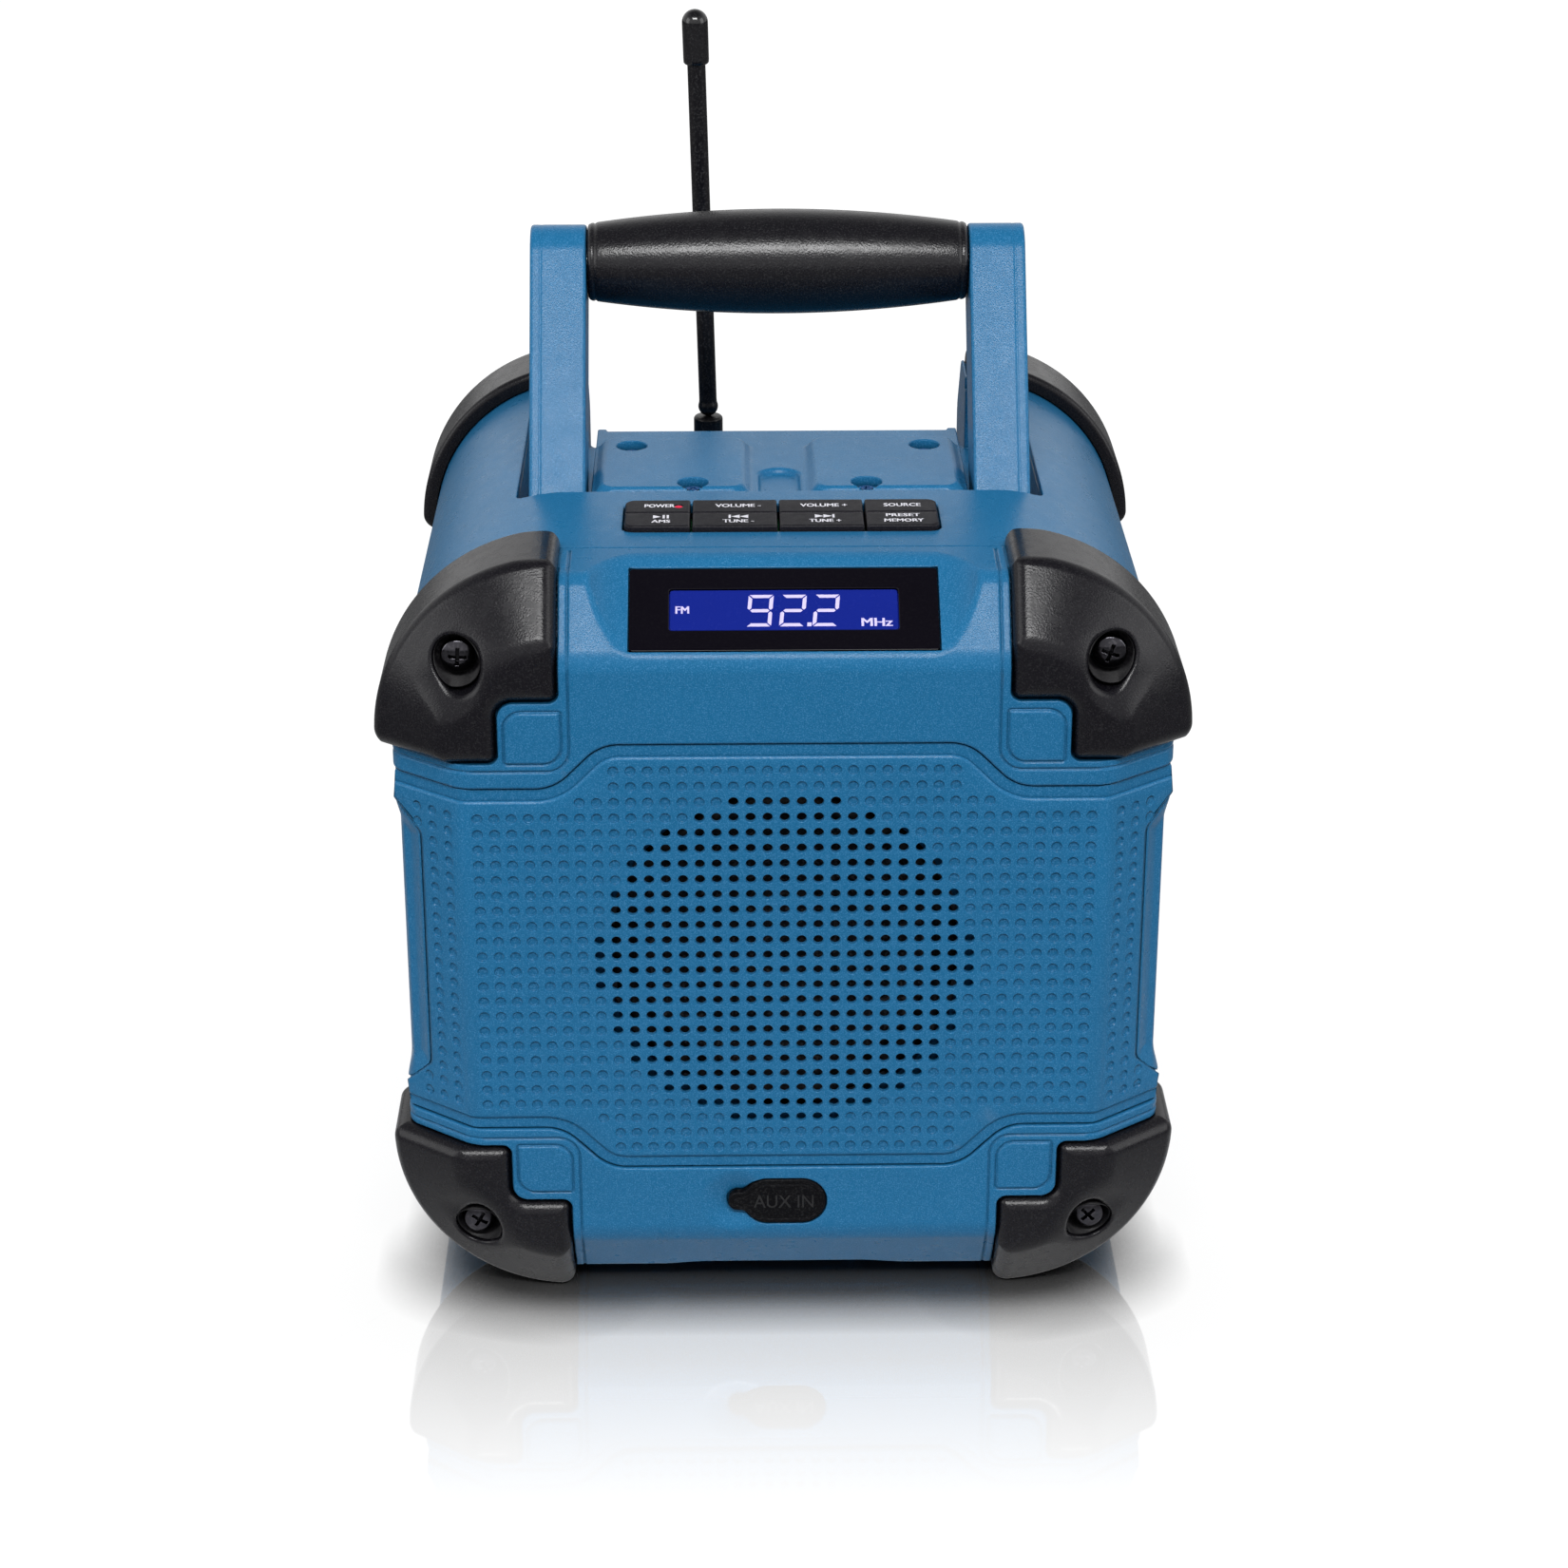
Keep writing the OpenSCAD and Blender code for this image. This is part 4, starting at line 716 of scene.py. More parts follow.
def well_shade_liner():
    """Near-black sheet that lines one screw well as painted shade, its rim below the slanted face.
    """
    def loop(r, depth=None):
        out = []
        for a in circle(48):
            x, z = SCREW_X + r * math.cos(a), SCREW_Z + r * math.sin(a)
            edge = -float(section(np.array(x), np.array(z), BUMPER_OUT))
            out.append((x, -(depth or min(107, 95.0 + edge * CHAMFER_D / CHAMFER_W)), z))
        return out

    return strips([loop(6.42, 98.95), loop(6.42), loop(6.1), loop(6.1, 99.7),
                   loop(4.75, 99.7), loop(4.75, 98.95)], closed=True)


def tray_posts(x, y):
    """Distances to the axes of the two pairs of tray screws."""
    return [np.hypot(np.abs(x) - px, y - py) for px, py in TRAY_SCREWS]


def main_housing(x, y, z):
    f = cut(rmax(section(x, z), np.abs(y) - SEAM_Y, 0.35), section(x, z, -WALL))
    tray = inter(rmax(np.abs(x) - TRAY_X, -TRAY_FRONT - y, 3.0), NOTCH_Z - z)
    f = rcut(f, tray, 0.5)
    f = rcut(f, inter(round_rect(x, y + 51.8, 42.8, 11.1, 3.3), 205 - z), 0.35)
    # Bosses, board posts, keypad ribs and the shelf under the tray
    boss = inter(screw_posts(x, z, 6), np.abs(y) - SEAM_Y, 49 - np.abs(y))
    post = inter(np.hypot(np.abs(x) - 49, np.abs(y) - 39) - 4, z - 19.4, 5.9 - z)
    ribs = cut(box3(x, y, z, (-48.5, -68.6, 208.5), (48.5, -35, 210.7)),
               box3(x, y, z, (-45.1, -65.2, 200), (45.1, -38.4, 215)))
    shelf = union(box3(x, y, z, (-46.4, -32.4, 181.6), (46.4, -29.4, 210.7)),
                  box3(x, y, z, (-46.4, -32.4, 178.6), (46.4, 29.8, 181.6)),
                  *[inter(r - 4, z - 208, 181 - z) for r in tray_posts(x, y)])
    f = union(f, inter(union(boss, post), section(x, z)), ribs, shelf)
    return cut(f, inter(screw_posts(x, z, 2.1), 51 - np.abs(y)))


def handle_tray(x, y, z):
    ax = np.abs(x)
    front = -29.1
    deck = union(box3(x, y, z, (-DECK_X, front, 208), (DECK_X, DECK_BACK, DECK_Z), 0.3),
                 box3(x, y, z, (-DECK_X, 32.4, 182.4), (DECK_X, DECK_BACK, DECK_Z), 0.3))
    deck = rmax(deck, (y - DECK_BACK) * 0.83 + (z - DECK_Z) * 0.56, 2.5)
    f = rmin(deck, box3(x, y, z, (-DECK_X, 32.4, 182.4), (DECK_X, SEAM_Y, NOTCH_Z)), 1.5)
    # Raised blocks with sloping sides and soft corners
    rise = np.clip(z - DECK_Z, 0, WALL)
    block = round_rect(ax - 29.95, y + 3.85, 22.3 - 0.85 * rise, 23.85 - 0.5 * rise, 4.0)
    f = rmin(f, inter(rmax(block, z - TOP_Z, 0.9), 209 - z), 0.8)
    side = union(box3(ax, y, z, (50, front, 189), (DECK_X, DECK_BACK, DECK_Z), 0.3),
                 box3(ax, y, z, (50, 32.4, 182.4), (DECK_X, SEAM_Y, SLOT_Z), 0.3))
    slot = union(*[box3(ax, y, z, (x0, y0, 189), (SLOT_X, y1, z1)) for x0, y0, y1, z1 in (
        (50, -32, SEAM_Y, SLOT_Z), (50, -32, -TRAY_FRONT, 230), (TRAY_X, -32, SEAM_Y, 230),
        (57.8, 72.4, SEAM_Y, 230))])
    boss = box3(ax, y, z, (47.4, -26.5, SLOT_Z), (DECK_X, -10.5, 208), 0.3)
    f = union(f, side, inter(slot, section(x, z, -WALL - 0.3)), boss)
    # Finger scoop between the blocks, screw recesses and pivot holes
    scoop = rmax(round_rect(x, y + 17.0, 5.6, 15, 5.5), 209 - z, 1.0)
    f = rcut(f, inter(scoop, -28 - y), 1.3)
    for r in tray_posts(x, y):
        f = cut(rcut(f, inter(r - 4.3, 210 - z), 0.35), r - 1.65)
    return cut(f, np.hypot(y - PIVOT[1], z - PIVOT[2]) - PIN_R)


def battery_door(x, y, z):
    hinge = np.hypot(y - SEAT_Y, z - DOOR_Z0)
    f = box3(x, y, z, (-DOOR_X, 106.6, DOOR_Z0), (DOOR_X, FACE_Y, DOOR_Z1), 0.5)
    f = rmin(f, inter(hinge - 3, np.abs(x) - DOOR_X), 0.4)
    # A lowered panel with level ribs
    panel = round_rect(x, z - 82, 48, 33, 4)
    low = 0.9 * smooth(0.5 - panel / 1.6)
    rib = 0.8 * smooth(1.2 - np.abs((z - 82 + 600) % 9 - 4.5) / 1.6) * smooth(-panel / 3 - 0.6)
    f = inter(f, y - FACE_Y + low - rib)
    coin = rod_y(x, z, 0, COIN_Z, 0)
    f = rcut(f, union(coin - 3.05, inter(coin - 6.05, 108.2 - y)), 0.2)
    return cut(f, hinge - 1.45)


def handle_arm(x, y, z):
    """Right arm in its own frame: z runs from the pivot to the grip."""
    run = np.hypot(y, z - np.clip(z, 0, ARM_LEN)) - ARM_R
    f = rmax(run, np.abs(x - 61.9) - 7.9, 0.9)
    # Line where the arm's inner face steps
    f = f + groove(x - 66.8, 0.6, 0.12) * (run > -3)
    end = np.hypot(y, z - ARM_LEN)
    f = cut(f, inter(end - 4.05, x - 65.8), end - 2.05)
    f = rcut(f, inter(end - 5.3, 67.4 - x), 0.4)
    return cut(f, np.hypot(y, z) - PIN_R)


def flap(x, y, z):
    out = flap_outline(x, z)
    f = rmax(out, np.abs(y - 1.2) - 1.2, 0.5)
    return f + groove(out + 1.5, 0.7, 0.25) * (y < 0.9)


KEY_EDGE = [-42.5, -24.4, -0.85, 22.5, 42.5]
KEY_NAMES = [["power", "volume_down", "volume_up", "source"],
             ["play", "tune_down", "tune_up", "memory"]]
LED = (-27.9, -46.4)


def key_form(col, row):
    x0 = KEY_EDGE[col] + (0.3 if col else 0)
    x1 = KEY_EDGE[col + 1] - (0.3 if col < 3 else 0)
    y0, y1 = ((-51.5, -41.0), (-62.6, -52.1))[row]

    def solid(x, y, z):
        block = round_rect(x, y + 51.8, 42.5, 10.8, 3.0)
        f = rmax(rmax(block, inter(x0 - x, x - x1, y0 - y, y - y1), 0.3), z - 215.1, 0.7)
        f = inter(f, 209.6 - z)
        return cut(f, np.hypot(x - LED[0], y - LED[1]) - 1.15) if (col, row) == (0, 0) else f
    return solid, (x0, y0, 209.6), (x1, y1, 215.1)


# ------------------------------------------------------------------ casing pieces
for name, nm, solid, lo, hi, step, keep in (
        ("front_shell", "front_bezel", front_bezel, (-HALF_W, -FACE_Y, FLOOR_Z),
         (HALF_W, -SEAM_Y, TOP_Z), 0.44, 0.22),
        ("rear_shell", "rear_housing", rear_housing, (-HALF_W, SEAM_Y, FLOOR_Z),
         (HALF_W, FACE_Y, TOP_Z), 0.7, 0.35),
        ("middle_shell", "main_housing", main_housing, (-HALF_W, -SEAM_Y, FLOOR_Z),
         (HALF_W, SEAM_Y, TOP_Z), 0.75, 0.25),
        ("tray", "handle_tray", handle_tray, (-76, -32.4, 182), (76, SEAM_Y, TOP_Z), 0.6, 0.35)):
    piece(name, "casing", "blue_plastic", carve(solid, lo, hi, step, keep), [nm])
made = carve(bumper, (59, -BUMPER_Y, 166), (108.4, -72, 218), 0.42, 0.3)
for end, sy in (("front", 1), ("rear", -1)):
    for level, sz in (("top", 1), ("bottom", -1)):
        for side, sx in (("left", -1), ("right", 1)):
            nm = f"{end}_{level}_{side}"
            piece("guard_" + nm, "casing", "bumper_rubber", made, ["bumper_" + nm],
                  place=mirror(sx, sy, sz))
piece("rear_door", "battery_door", "blue_plastic",
      carve(battery_door, (-DOOR_X, INNER_Y, 36), (DOOR_X, FACE_Y, DOOR_Z1), 0.5, 0.25),
      ["battery_door"])

# ------------------------------------------------------------------ speaker grille
PITCH = 4.5
SEGMENTS = 18
TURN = math.atan2(CHAMFER_D, CHAMFER_W)
BEND = 1.69
FOLDS = sorted(s * (CREASE + k * BEND / 2) for s in (-1, 1) for k in (-2, -1, 0, 1, 2))
GRILLE_END = CREASE + CHAMFER_L
DIMPLES_Z = GRILLE_Z - 0.4
OPEN_R, DISC_R = 50.3, 52.6
THIN, DEEP = 1.5, 2.9
BORDER, LOW = 3.4, 0.95
HOLE_R, RIM_R = 1.30, 1.62


def wrap(p):
    """Maps rows of (u, z, depth, nu, nz, nd) from the unrolled panel onto the casing."""
    u, z, depth, nu, nz, nd = np.asarray(p, float).T
    s = np.where(u < 0, -1.0, 1.0)
    a = np.abs(u)
    phi = TURN * np.clip((a - CREASE + BEND) / (2 * BEND), 0, 1)
    r = 2 * BEND / TURN
    over = np.maximum(a - CREASE - BEND, 0)
    x = np.minimum(a, CREASE - BEND) + r * np.sin(phi) + over * math.cos(TURN)
    y = -FACE_Y + r * (1 - np.cos(phi)) + over * math.sin(TURN)
    out = np.stack([s * np.sin(phi), -np.cos(phi)], 1)
    along = np.stack([np.cos(phi), s * np.sin(phi)], 1)
    return (np.column_stack([np.stack([s * x, y], 1) - out * depth[:, None], z]),
            np.column_stack([along * nu[:, None] + out * nd[:, None], nz]))


class Panel:
    """Gathers the points and faces of a relief on the unrolled panel."""

    def __init__(self):
        self.rows, self.faces = [], []

    def loop(self, pts, depth, tilt, outward):
        """Adds a loop of points. tilt turns its normals from the face towards outward."""
        start = len(self.rows)
        c, s = math.cos(math.radians(tilt)), math.sin(math.radians(tilt))
        for (u, z), (ou, oz) in zip(pts, outward):
            # The panel ends flush where it meets the side scoops
            flush = abs(u) > 99 and abs(z - GRILLE_Z) < 43.5 and depth < 2
            self.rows.append((u, z, min(depth, 0.12) if flush else depth, s * ou, s * oz, c))
        return list(range(start, len(self.rows)))

    def band(self, a, b):
        """Joins two loops of equal length; b lies below or inside a."""
        for i, k, l, j in zip(a, a[1:] + a[:1], b[1:] + b[:1], b):
            self.faces += [(i, k, l), (i, l, j)]

    def folds(self, loop):
        """Lines across a loop at the panel's folds."""
        for c in FOLDS:
            hit = sorted((self.rows[i][1], i) for i in loop if abs(self.rows[i][0] - c) < 1e-6)
            if len(hit) >= 2:
                yield hit[0][1], hit[-1][1]

    def fill(self, loops, keep, lines=(), back=False):
        """Triangulates between loops; keep tells from a centroid if a face stays."""
        idx = [i for lp in loops for i in lp]
        at = {i: k for k, i in enumerate(idx)}
        pts = [Vector(self.rows[i][:2]) for i in idx]
        edges = [(at[a], at[b]) for lp in loops for a, b in zip(lp, lp[1:] + lp[:1])]
        edges += [(at[a], at[b]) for a, b in lines]
        v, _, f, orig, _, _ = delaunay_2d_cdt(pts, edges, [], 0, 1e-7)
        back_to = [idx[o[0]] if o else None for o in orig]
        tri = np.array([t for t in f if len(t) == 3])
        for t in tri[keep(np.array([tuple(q) for q in v])[tri].mean(1))]:
            t = [back_to[k] for k in t]
            if None not in t:
                self.faces.append(tuple(t[::-1] if back else t))


def outward_of(loop):
    d = np.roll(loop, -1, 0) - np.roll(loop, 1, 0)
    d /= np.linalg.norm(d, axis=1)[:, None]
    return np.column_stack([d[:, 1], -d[:, 0]])


def ring(by, side):
    """The grille's outline moved inwards, by side at the ends."""
    edge = ([by] * 5 + [side] * 5) * 2
    curved = [0, 1, -1, -1, 1, 0, 0, 1, 1, 0] * 2
    radii = [0.6, 12, 12, 12, 12, 0.6, 0.6, 3, 3, 0.6] * 2
    pts = inset_polygon(grille_corners(GRILLE_END, [42.7]), edge)
    radii = [max(0.3, r + e * c) for r, c, e in zip(radii, curved, edge)]
    return fillet(pts, radii, 8, FOLDS) + [0, GRILLE_Z]


def spots():
    """Middles of the dimples and holes, and which are open."""
    for i in range(-13, 13):
        z = (i + 0.5) * PITCH
        reach = 10 if abs(z) > 50 else 12 if z > 47 else 11 if z < -47 else 18
        for n in range(-reach, reach + 1):
            yield n * PITCH, DIMPLES_Z + z, math.hypot(n * PITCH, z) <= OPEN_R
        for s in (-1, 1):
            for k, u in enumerate((89.9, 95.2, 100.5)):
                if abs(z) < 46 and (k < 2 or abs(z) > 38):
                    yield s * u, DIMPLES_Z + z, False


def away(c, centres, rim):
    """False for faces inside a rim of that radius."""
    a = math.pi / SEGMENTS
    limit = rim * ((1 + 2 * math.cos(2 * a)) / 3 + math.cos(a)) / 2
    return np.concatenate([np.hypot(*(part[:, None] - centres).transpose(2, 0, 1)).min(1) > limit
                           for part in np.split(c, range(4000, len(c), 4000))])


def grille_panel():
    p = Panel()

    def outline(by, side, depth, tilt):
        lp = ring(by, side)
        return p.loop(lp, depth, tilt, outward_of(lp))

    field = [outline(BORDER + by, side, depth, tilt) for by, side, depth, tilt in (
        (0.85, 0.8, 0, 6), (0.7, 0.65, 0.04, 26), (0.16, 0.3, 0.42, 44), (0, 0.15, 0.62, 80),
        (0, 0.15, LOW, 75))]
    for a, b in zip(field, field[1:]):
        p.band(b, a)
    inner, outer = ring(BORDER, 0.15), ring(0.35, 0.1)
    flat = [outline(BORDER, 0.15, LOW, 0), outline(0.35, 0.1, LOW, 0)]
    sides = [outline(*row) for row in ((0.35, 0.1, LOW, 25), (0.0, 0.0, LOW + 0.35, 90),
                                       (0.0, 0.0, DEEP, 90))]
    for a, b in zip(sides, sides[1:]):
        p.band(b, a)
    p.fill(flat, lambda c: in_polygon(c, outer) & ~in_polygon(c, inner))

    dimple = [(RIM_R, 0, 0), (1.47, 0.08, 38), (1.37, 0.26, 66), (1.29, 0.44, 60),
              (1.12, 0.55, 28), (0.85, 0.58, 5)]
    hole = [(RIM_R, 0, 0), (1.45, 0.10, 42), (1.32, 0.36, 84), (HOLE_R, THIN, 90)]
    unit = np.array([(math.cos(a), math.sin(a)) for a in circle(SEGMENTS)])
    rims, backs = [], []
    for u, z, is_open in spots():
        rings = [p.loop(unit * r + (u, z), depth, tilt, -unit)
                 for r, depth, tilt in (hole if is_open else dimple)]
        for a, b in zip(rings, rings[1:]):
            p.band(a, b)
        rims.append(rings[0])
        if is_open:
            backs.append(rings[-1])
        else:
            last = rings[-1]
            p.faces += [(a, b, len(p.rows)) for a, b in zip(last, last[1:] + last[:1])]
            p.rows.append((u, z, 0.59, 0, 0, 1))
    centres = np.array([s[:2] for s in spots()])
    holes = np.array([s[:2] for s in spots() if s[2]])
    top = ring(BORDER + 0.85, 0.8)
    p.fill([field[0]] + rims, lambda c: away(c, centres, RIM_R) & in_polygon(c, top),
           p.folds(field[0]))
    # The back is hollowed behind the holes
    full = ring(0.0, 0.0)
    rear = outline(0.0, 0.0, DEEP, 180)
    centre = np.array([0, GRILLE_Z])
    disc = np.array([(DISC_R * math.cos(a), GRILLE_Z + DISC_R * math.sin(a)) for a in circle(120)])

    def in_disc(c):
        return np.hypot(*(c - centre).T) < DISC_R - 0.05

    lip = p.loop(disc, DEEP, 180, 0 * disc)
    wall = [p.loop(disc, d, 90, (centre - disc) / DISC_R) for d in (DEEP, THIN)]
    p.band(wall[1], wall[0])
    well = p.loop(disc, THIN, 180, 0 * disc)
    rear_rims = [p.loop(np.array([p.rows[i][:2] for i in lp]), THIN, 180, 0 * unit)
                 for lp in backs]
    p.fill([rear, lip], lambda c: ~in_disc(c) & in_polygon(c, full), p.folds(rear), back=True)
    p.fill([well] + rear_rims, lambda c: away(c, holes, HOLE_R) & in_disc(c), back=True)
    pts, normals = wrap(p.rows)
    return pts, p.faces, normals


piece("grille_panel", "casing", "blue_plastic", grille_panel(), ["speaker_grille"])

# ------------------------------------------------------------------ handle and keys
lean = move(*PIVOT) @ turn(-LEAN, "X")
grip_axis = lean @ move(0, 0, ARM_LEN)
made = carve(handle_arm, (54, -ARM_R, -ARM_R), (ARM_OUT, ARM_R, ARM_LEN + ARM_R), 0.5, 0.3)
for side, sx in (("left", -1), ("right", 1)):
    piece("arm_" + side, "handle", "blue_plastic", made, ["handle_arm_" + side],
          place=lean @ mirror(sx))

for row in (0, 1):
    for col in range(4):
        nm = KEY_NAMES[row][col]
        piece("button_" + nm, "key_" + nm, "key_rubber", carve(*key_form(col, row), 0.3, 0.3),
              ["key_" + nm])


# ------------------------------------------------------------------ screws
def screw(head, tall, shank, length, step, cross=0.55):
    """Pan head screw with a cross recess; the head's top is at z = 0 and points up."""
    def solid(x, y, z):
        r = np.hypot(x, y)
        dome = np.sqrt(r * r + (z + head * 2.1) ** 2) - head * 2.1
        f = rmax(rmax(r - head, dome, 0.5), -tall - z, 0.2)
        f = rmin(f, inter(r - shank, z + tall / 2, -tall - length - z), 0.3)
        ax, ay = np.minimum(np.abs(x), np.abs(y)), np.maximum(np.abs(x), np.abs(y))
        slots = inter(ax - head * 0.11 + 0.12 * (z + 1.0), ay - head * cross - 0.35 * z)
        return rcut(f, inter(slots, -z - tall * 0.6), 0.15)
    return carve(solid, (-head, -head, -tall - length), (head, head, 0), step, 0.35)


made = screw(4.6, 3.6, 2.0, 42, 0.26)
bolts = [move(sx * SCREW_X, -sy * 102.5, MID_Z + sz * (SCREW_Z - MID_Z)) @ turn(90 * sy, "X")
         @ turn(20 + 37 * sx + 13 * sz, "Z") for sy in (1, -1) for sz in (1, -1) for sx in (1, -1)]
# The bumper screws take the steel darkened as painted shade.
piece("bolts_bumper", "casing", "screw_steel", gathered(moved(made, b) for b in bolts),
      ["bumper_screws"], "shade_darkened_screw")
# Near-black liners in the screw wells paint the wells' deep shade.
shade_liners = gathered(moved(well_shade_liner(), mirror(sx, sy, sz))
                for sx in (1, -1) for sy in (1, -1) for sz in (1, -1))
weld(piece("well_shade_liners", "casing", "bumper_rubber", shade_liners, mat="well_shade_black"))
made = screw(3.3, 2.0, 1.6, 14, 0.22)
bolts = [move(sx * px, py, DECK_Z + 1.4) @ Matrix.Rotation(0.3 + sx + py, 4, "Z")
         for px, py in TRAY_SCREWS for sx in (-1, 1)]
piece("bolts_tray", "casing", "screw_steel", gathered(moved(made, b) for b in bolts),
      ["tray_screws"], "well_blue")
made = screw(5.0, 2.4, 2.0, 18, 0.26)
bolts = [grip_axis @ move(sx * ARM_OUT, 0, 0) @ turn(90 * sx, "Y") for sx in (-1, 1)]
piece("bolts_grip", "handle", "screw_steel", gathered(moved(made, b) for b in bolts),
      ["handle_bolts"])


def coin_screw(x, y, z):
    r = rod_y(x, z, 0, COIN_Z, 0)
    f = rmax(r - 6, rmax(y - FACE_Y, 108.2 - y, 0.1), 0.4)
    f = rmin(f, inter(r - 3, y - 109, 104.6 - y), 0.2)
    slot = inter(np.abs(z - COIN_Z) - 0.75, np.abs(x) - 4.9, 108.75 - y)
    return rcut(f, slot, 0.15)


piece("coin_lock", "door_screw", "screw_steel",
      carve(coin_screw, (-6, 104.6, 123), (6, FACE_Y, 135.5), 0.25, 0.3), ["door_screw"])

# ------------------------------------------------------------------ grip
GRIP_HALF = 53.7


def grip_radius(x):
    return 14.75 - 3.95 * (x / GRIP_HALF) ** 2


# The grip's end has a small lip and a groove
line = [(4.15, -GRIP_HALF), (9.9, -GRIP_HALF)]
line += [(grip_radius(x) + lift, -h) for x, lift, h in (
    (GRIP_HALF, -0.3, GRIP_HALF - 0.25), (GRIP_HALF, 0.1, GRIP_HALF - 0.9), (52, -0.05, 52.2),
    (51.6, -0.35, 51.7), (51.2, -0.02, 51.1))]
body = [(grip_radius(x), x) for x in np.linspace(-50.6, 50.6, 61)]
line += body + [(r, -h) for r, h in line[::-1]] + line[:1]
z_to_x = Matrix(((0, 0, 1, 0), (1, 0, 0, 0), (0, 1, 0, 0), (0, 0, 0, 1)))
lathe_piece("grip_rubber", "handle", "grip_rubber", ["handle_grip"], line, grip_axis @ z_to_x,
            steps=96)

# ------------------------------------------------------------------ antenna
foot = [(0, 175.6), (3, 175.6), (3, 185), (6.2, 185), (6.5, 185.3), (6.5, 187.2)]
foot += arc(5.3, 187.4, 1.2, 0, 80, 4) + [(4.3, 188.6), (0, 188.6)]
lathe_piece("whip_socket", "casing", "plain_steel", ["antenna_socket"], foot, move(*ANTENNA, 0))
collar = [(0, 188.6), (4.1, 188.6), (4.4, 189.0), (4.45, 189.6), (4.45, 190.6), (4.15, 190.9),
          (4.15, 191.3), (4.45, 191.6), (4.45, 197.0)]
collar += arc(3.45, 197.6, 1.0, 0, 85, 5) + [(0, 198.6)]
lathe_piece("whip_collar", "casing", "antenna_rubber", ["antenna_collar"], collar,
            move(*ANTENNA, 0))
whip = move(*ANTENNA, 201.65) @ turn(-1.4, "Y")
TIP, ROD_R, TIP_R = 105.75, 2.7, 3.85
rod = [(0, -PIN_R)] + arc(0, 0, PIN_R, -88, 24, 10) + [(ROD_R, h) for h in range(2, 110, 3)]
rod += [(ROD_R, TIP + 8), (0, TIP + 8)]
lathe_piece("whip_rod", "antenna", "antenna_rubber", ["antenna_rod"], rod, whip, steps=36)
cap = [(0, TIP + 8.5), (2.8, TIP + 8.5), (2.8, TIP + 0.1), (3.4, TIP), (3.75, TIP + 0.4),
       (3.82, TIP + 1.4), (TIP_R, TIP + 11.5)]
cap += arc(0, TIP + 16 - TIP_R, TIP_R, 4, 90, 9)[:-1] + [(0, TIP + 16)]
lathe_piece("whip_tip", "antenna", "antenna_rubber", ["antenna_tip"], cap, whip, "tip_rubber")


# ------------------------------------------------------------------ flat forms and lettering
def rect_loop(w, h, r, z):
    """Points round a rectangle of half sizes w and h with rounded corners, at height z."""
    corners = ((w - r, h - r, 0), (r - w, h - r, 90), (r - w, r - h, 180), (w - r, r - h, 270))
    return [(x, y, z) for cx, cy, a in corners for x, y in arc(cx, cy, r, a, a + 90, 5)]


def capped(loops):
    """Skin over loops, closed by its first and last loop."""
    n = len(loops[0])
    pts, faces = strips(loops)
    return pts, [*faces, list(range(n))[::-1], list(range(len(pts) - n, len(pts)))]


def prism(outline, z0, z1):
    """A flat shape with straight sides from an anticlockwise outline."""
    return capped([[(x, y, z) for x, y in outline] for z in (z0, z1)])


def lettering(text, box, z0, z1, bold=0.0):
    """A word as flat letters filling box (x0, y0, x1, y1) between heights z0 and z1."""
    cu = bpy.data.curves.new("word", "FONT")
    cu.body = text
    cu.extrude = 0.5
    cu.resolution_u = 3
    me = as_mesh(shown("word", cu))
    pts = np.array([v.co for v in me.vertices])
    faces = [list(f.vertices) for f in me.polygons]
    bpy.data.meshes.remove(me)
    lo, hi = pts.min(0), pts.max(0)
    a, b = np.array([box[0] + bold, box[1], z0]), np.array([box[2] - bold, box[3], z1])
    pts = a + (pts - lo) / (hi - lo) * (b - a)
    if not bold:
        return pts, faces
    lift = 0.06 * (z1 - z0)
    return gathered((pts + [k * bold, 0, i * lift], faces) for i, k in enumerate((-1, 0, 1)))


# ------------------------------------------------------------------ display
slope = (move(0, -FACE_Y, SLOPE_Z) @ Matrix.Rotation(SLOPE_A, 4, "X") @ move(0, WINDOW_V, 0))
WW, WH, LW, LH = 40.3, 13.25, 30.0, 6.75
frame_loops = [rect_loop(w, h, r, z) for w, h, r, z in (
    (WW, WH, 0.9, -2), (WW, WH, 0.9, -0.2), (WW - 0.03, WH - 0.03, 0.88, -0.13),
    (WW - 0.1, WH - 0.1, 0.85, -0.1), (LW + 0.2, LH + 0.2, 1.0, -0.1), (LW, LH, 0.85, -0.25),
    (LW, LH, 0.85, -2))]
piece("window_frame", "casing", "display_black", strips(frame_loops, closed=True),
      ["display_window"], place=slope, smooth_faces=False)
glass = [capped([rect_loop(31, 7.2, 0.5, z) for z in (-6, -2)]),
         capped([rect_loop(29.7, 6.45, 0.8, -2.05), rect_loop(29.7, 6.45, 0.8, -0.5),
                 rect_loop(29.6, 6.35, 0.75, -0.4)])]
piece("lcd_glass", "casing", "display_blue", gathered(glass), ["lcd_module"], place=slope,
      smooth_faces=False)
LIT = (-0.42, -0.36)


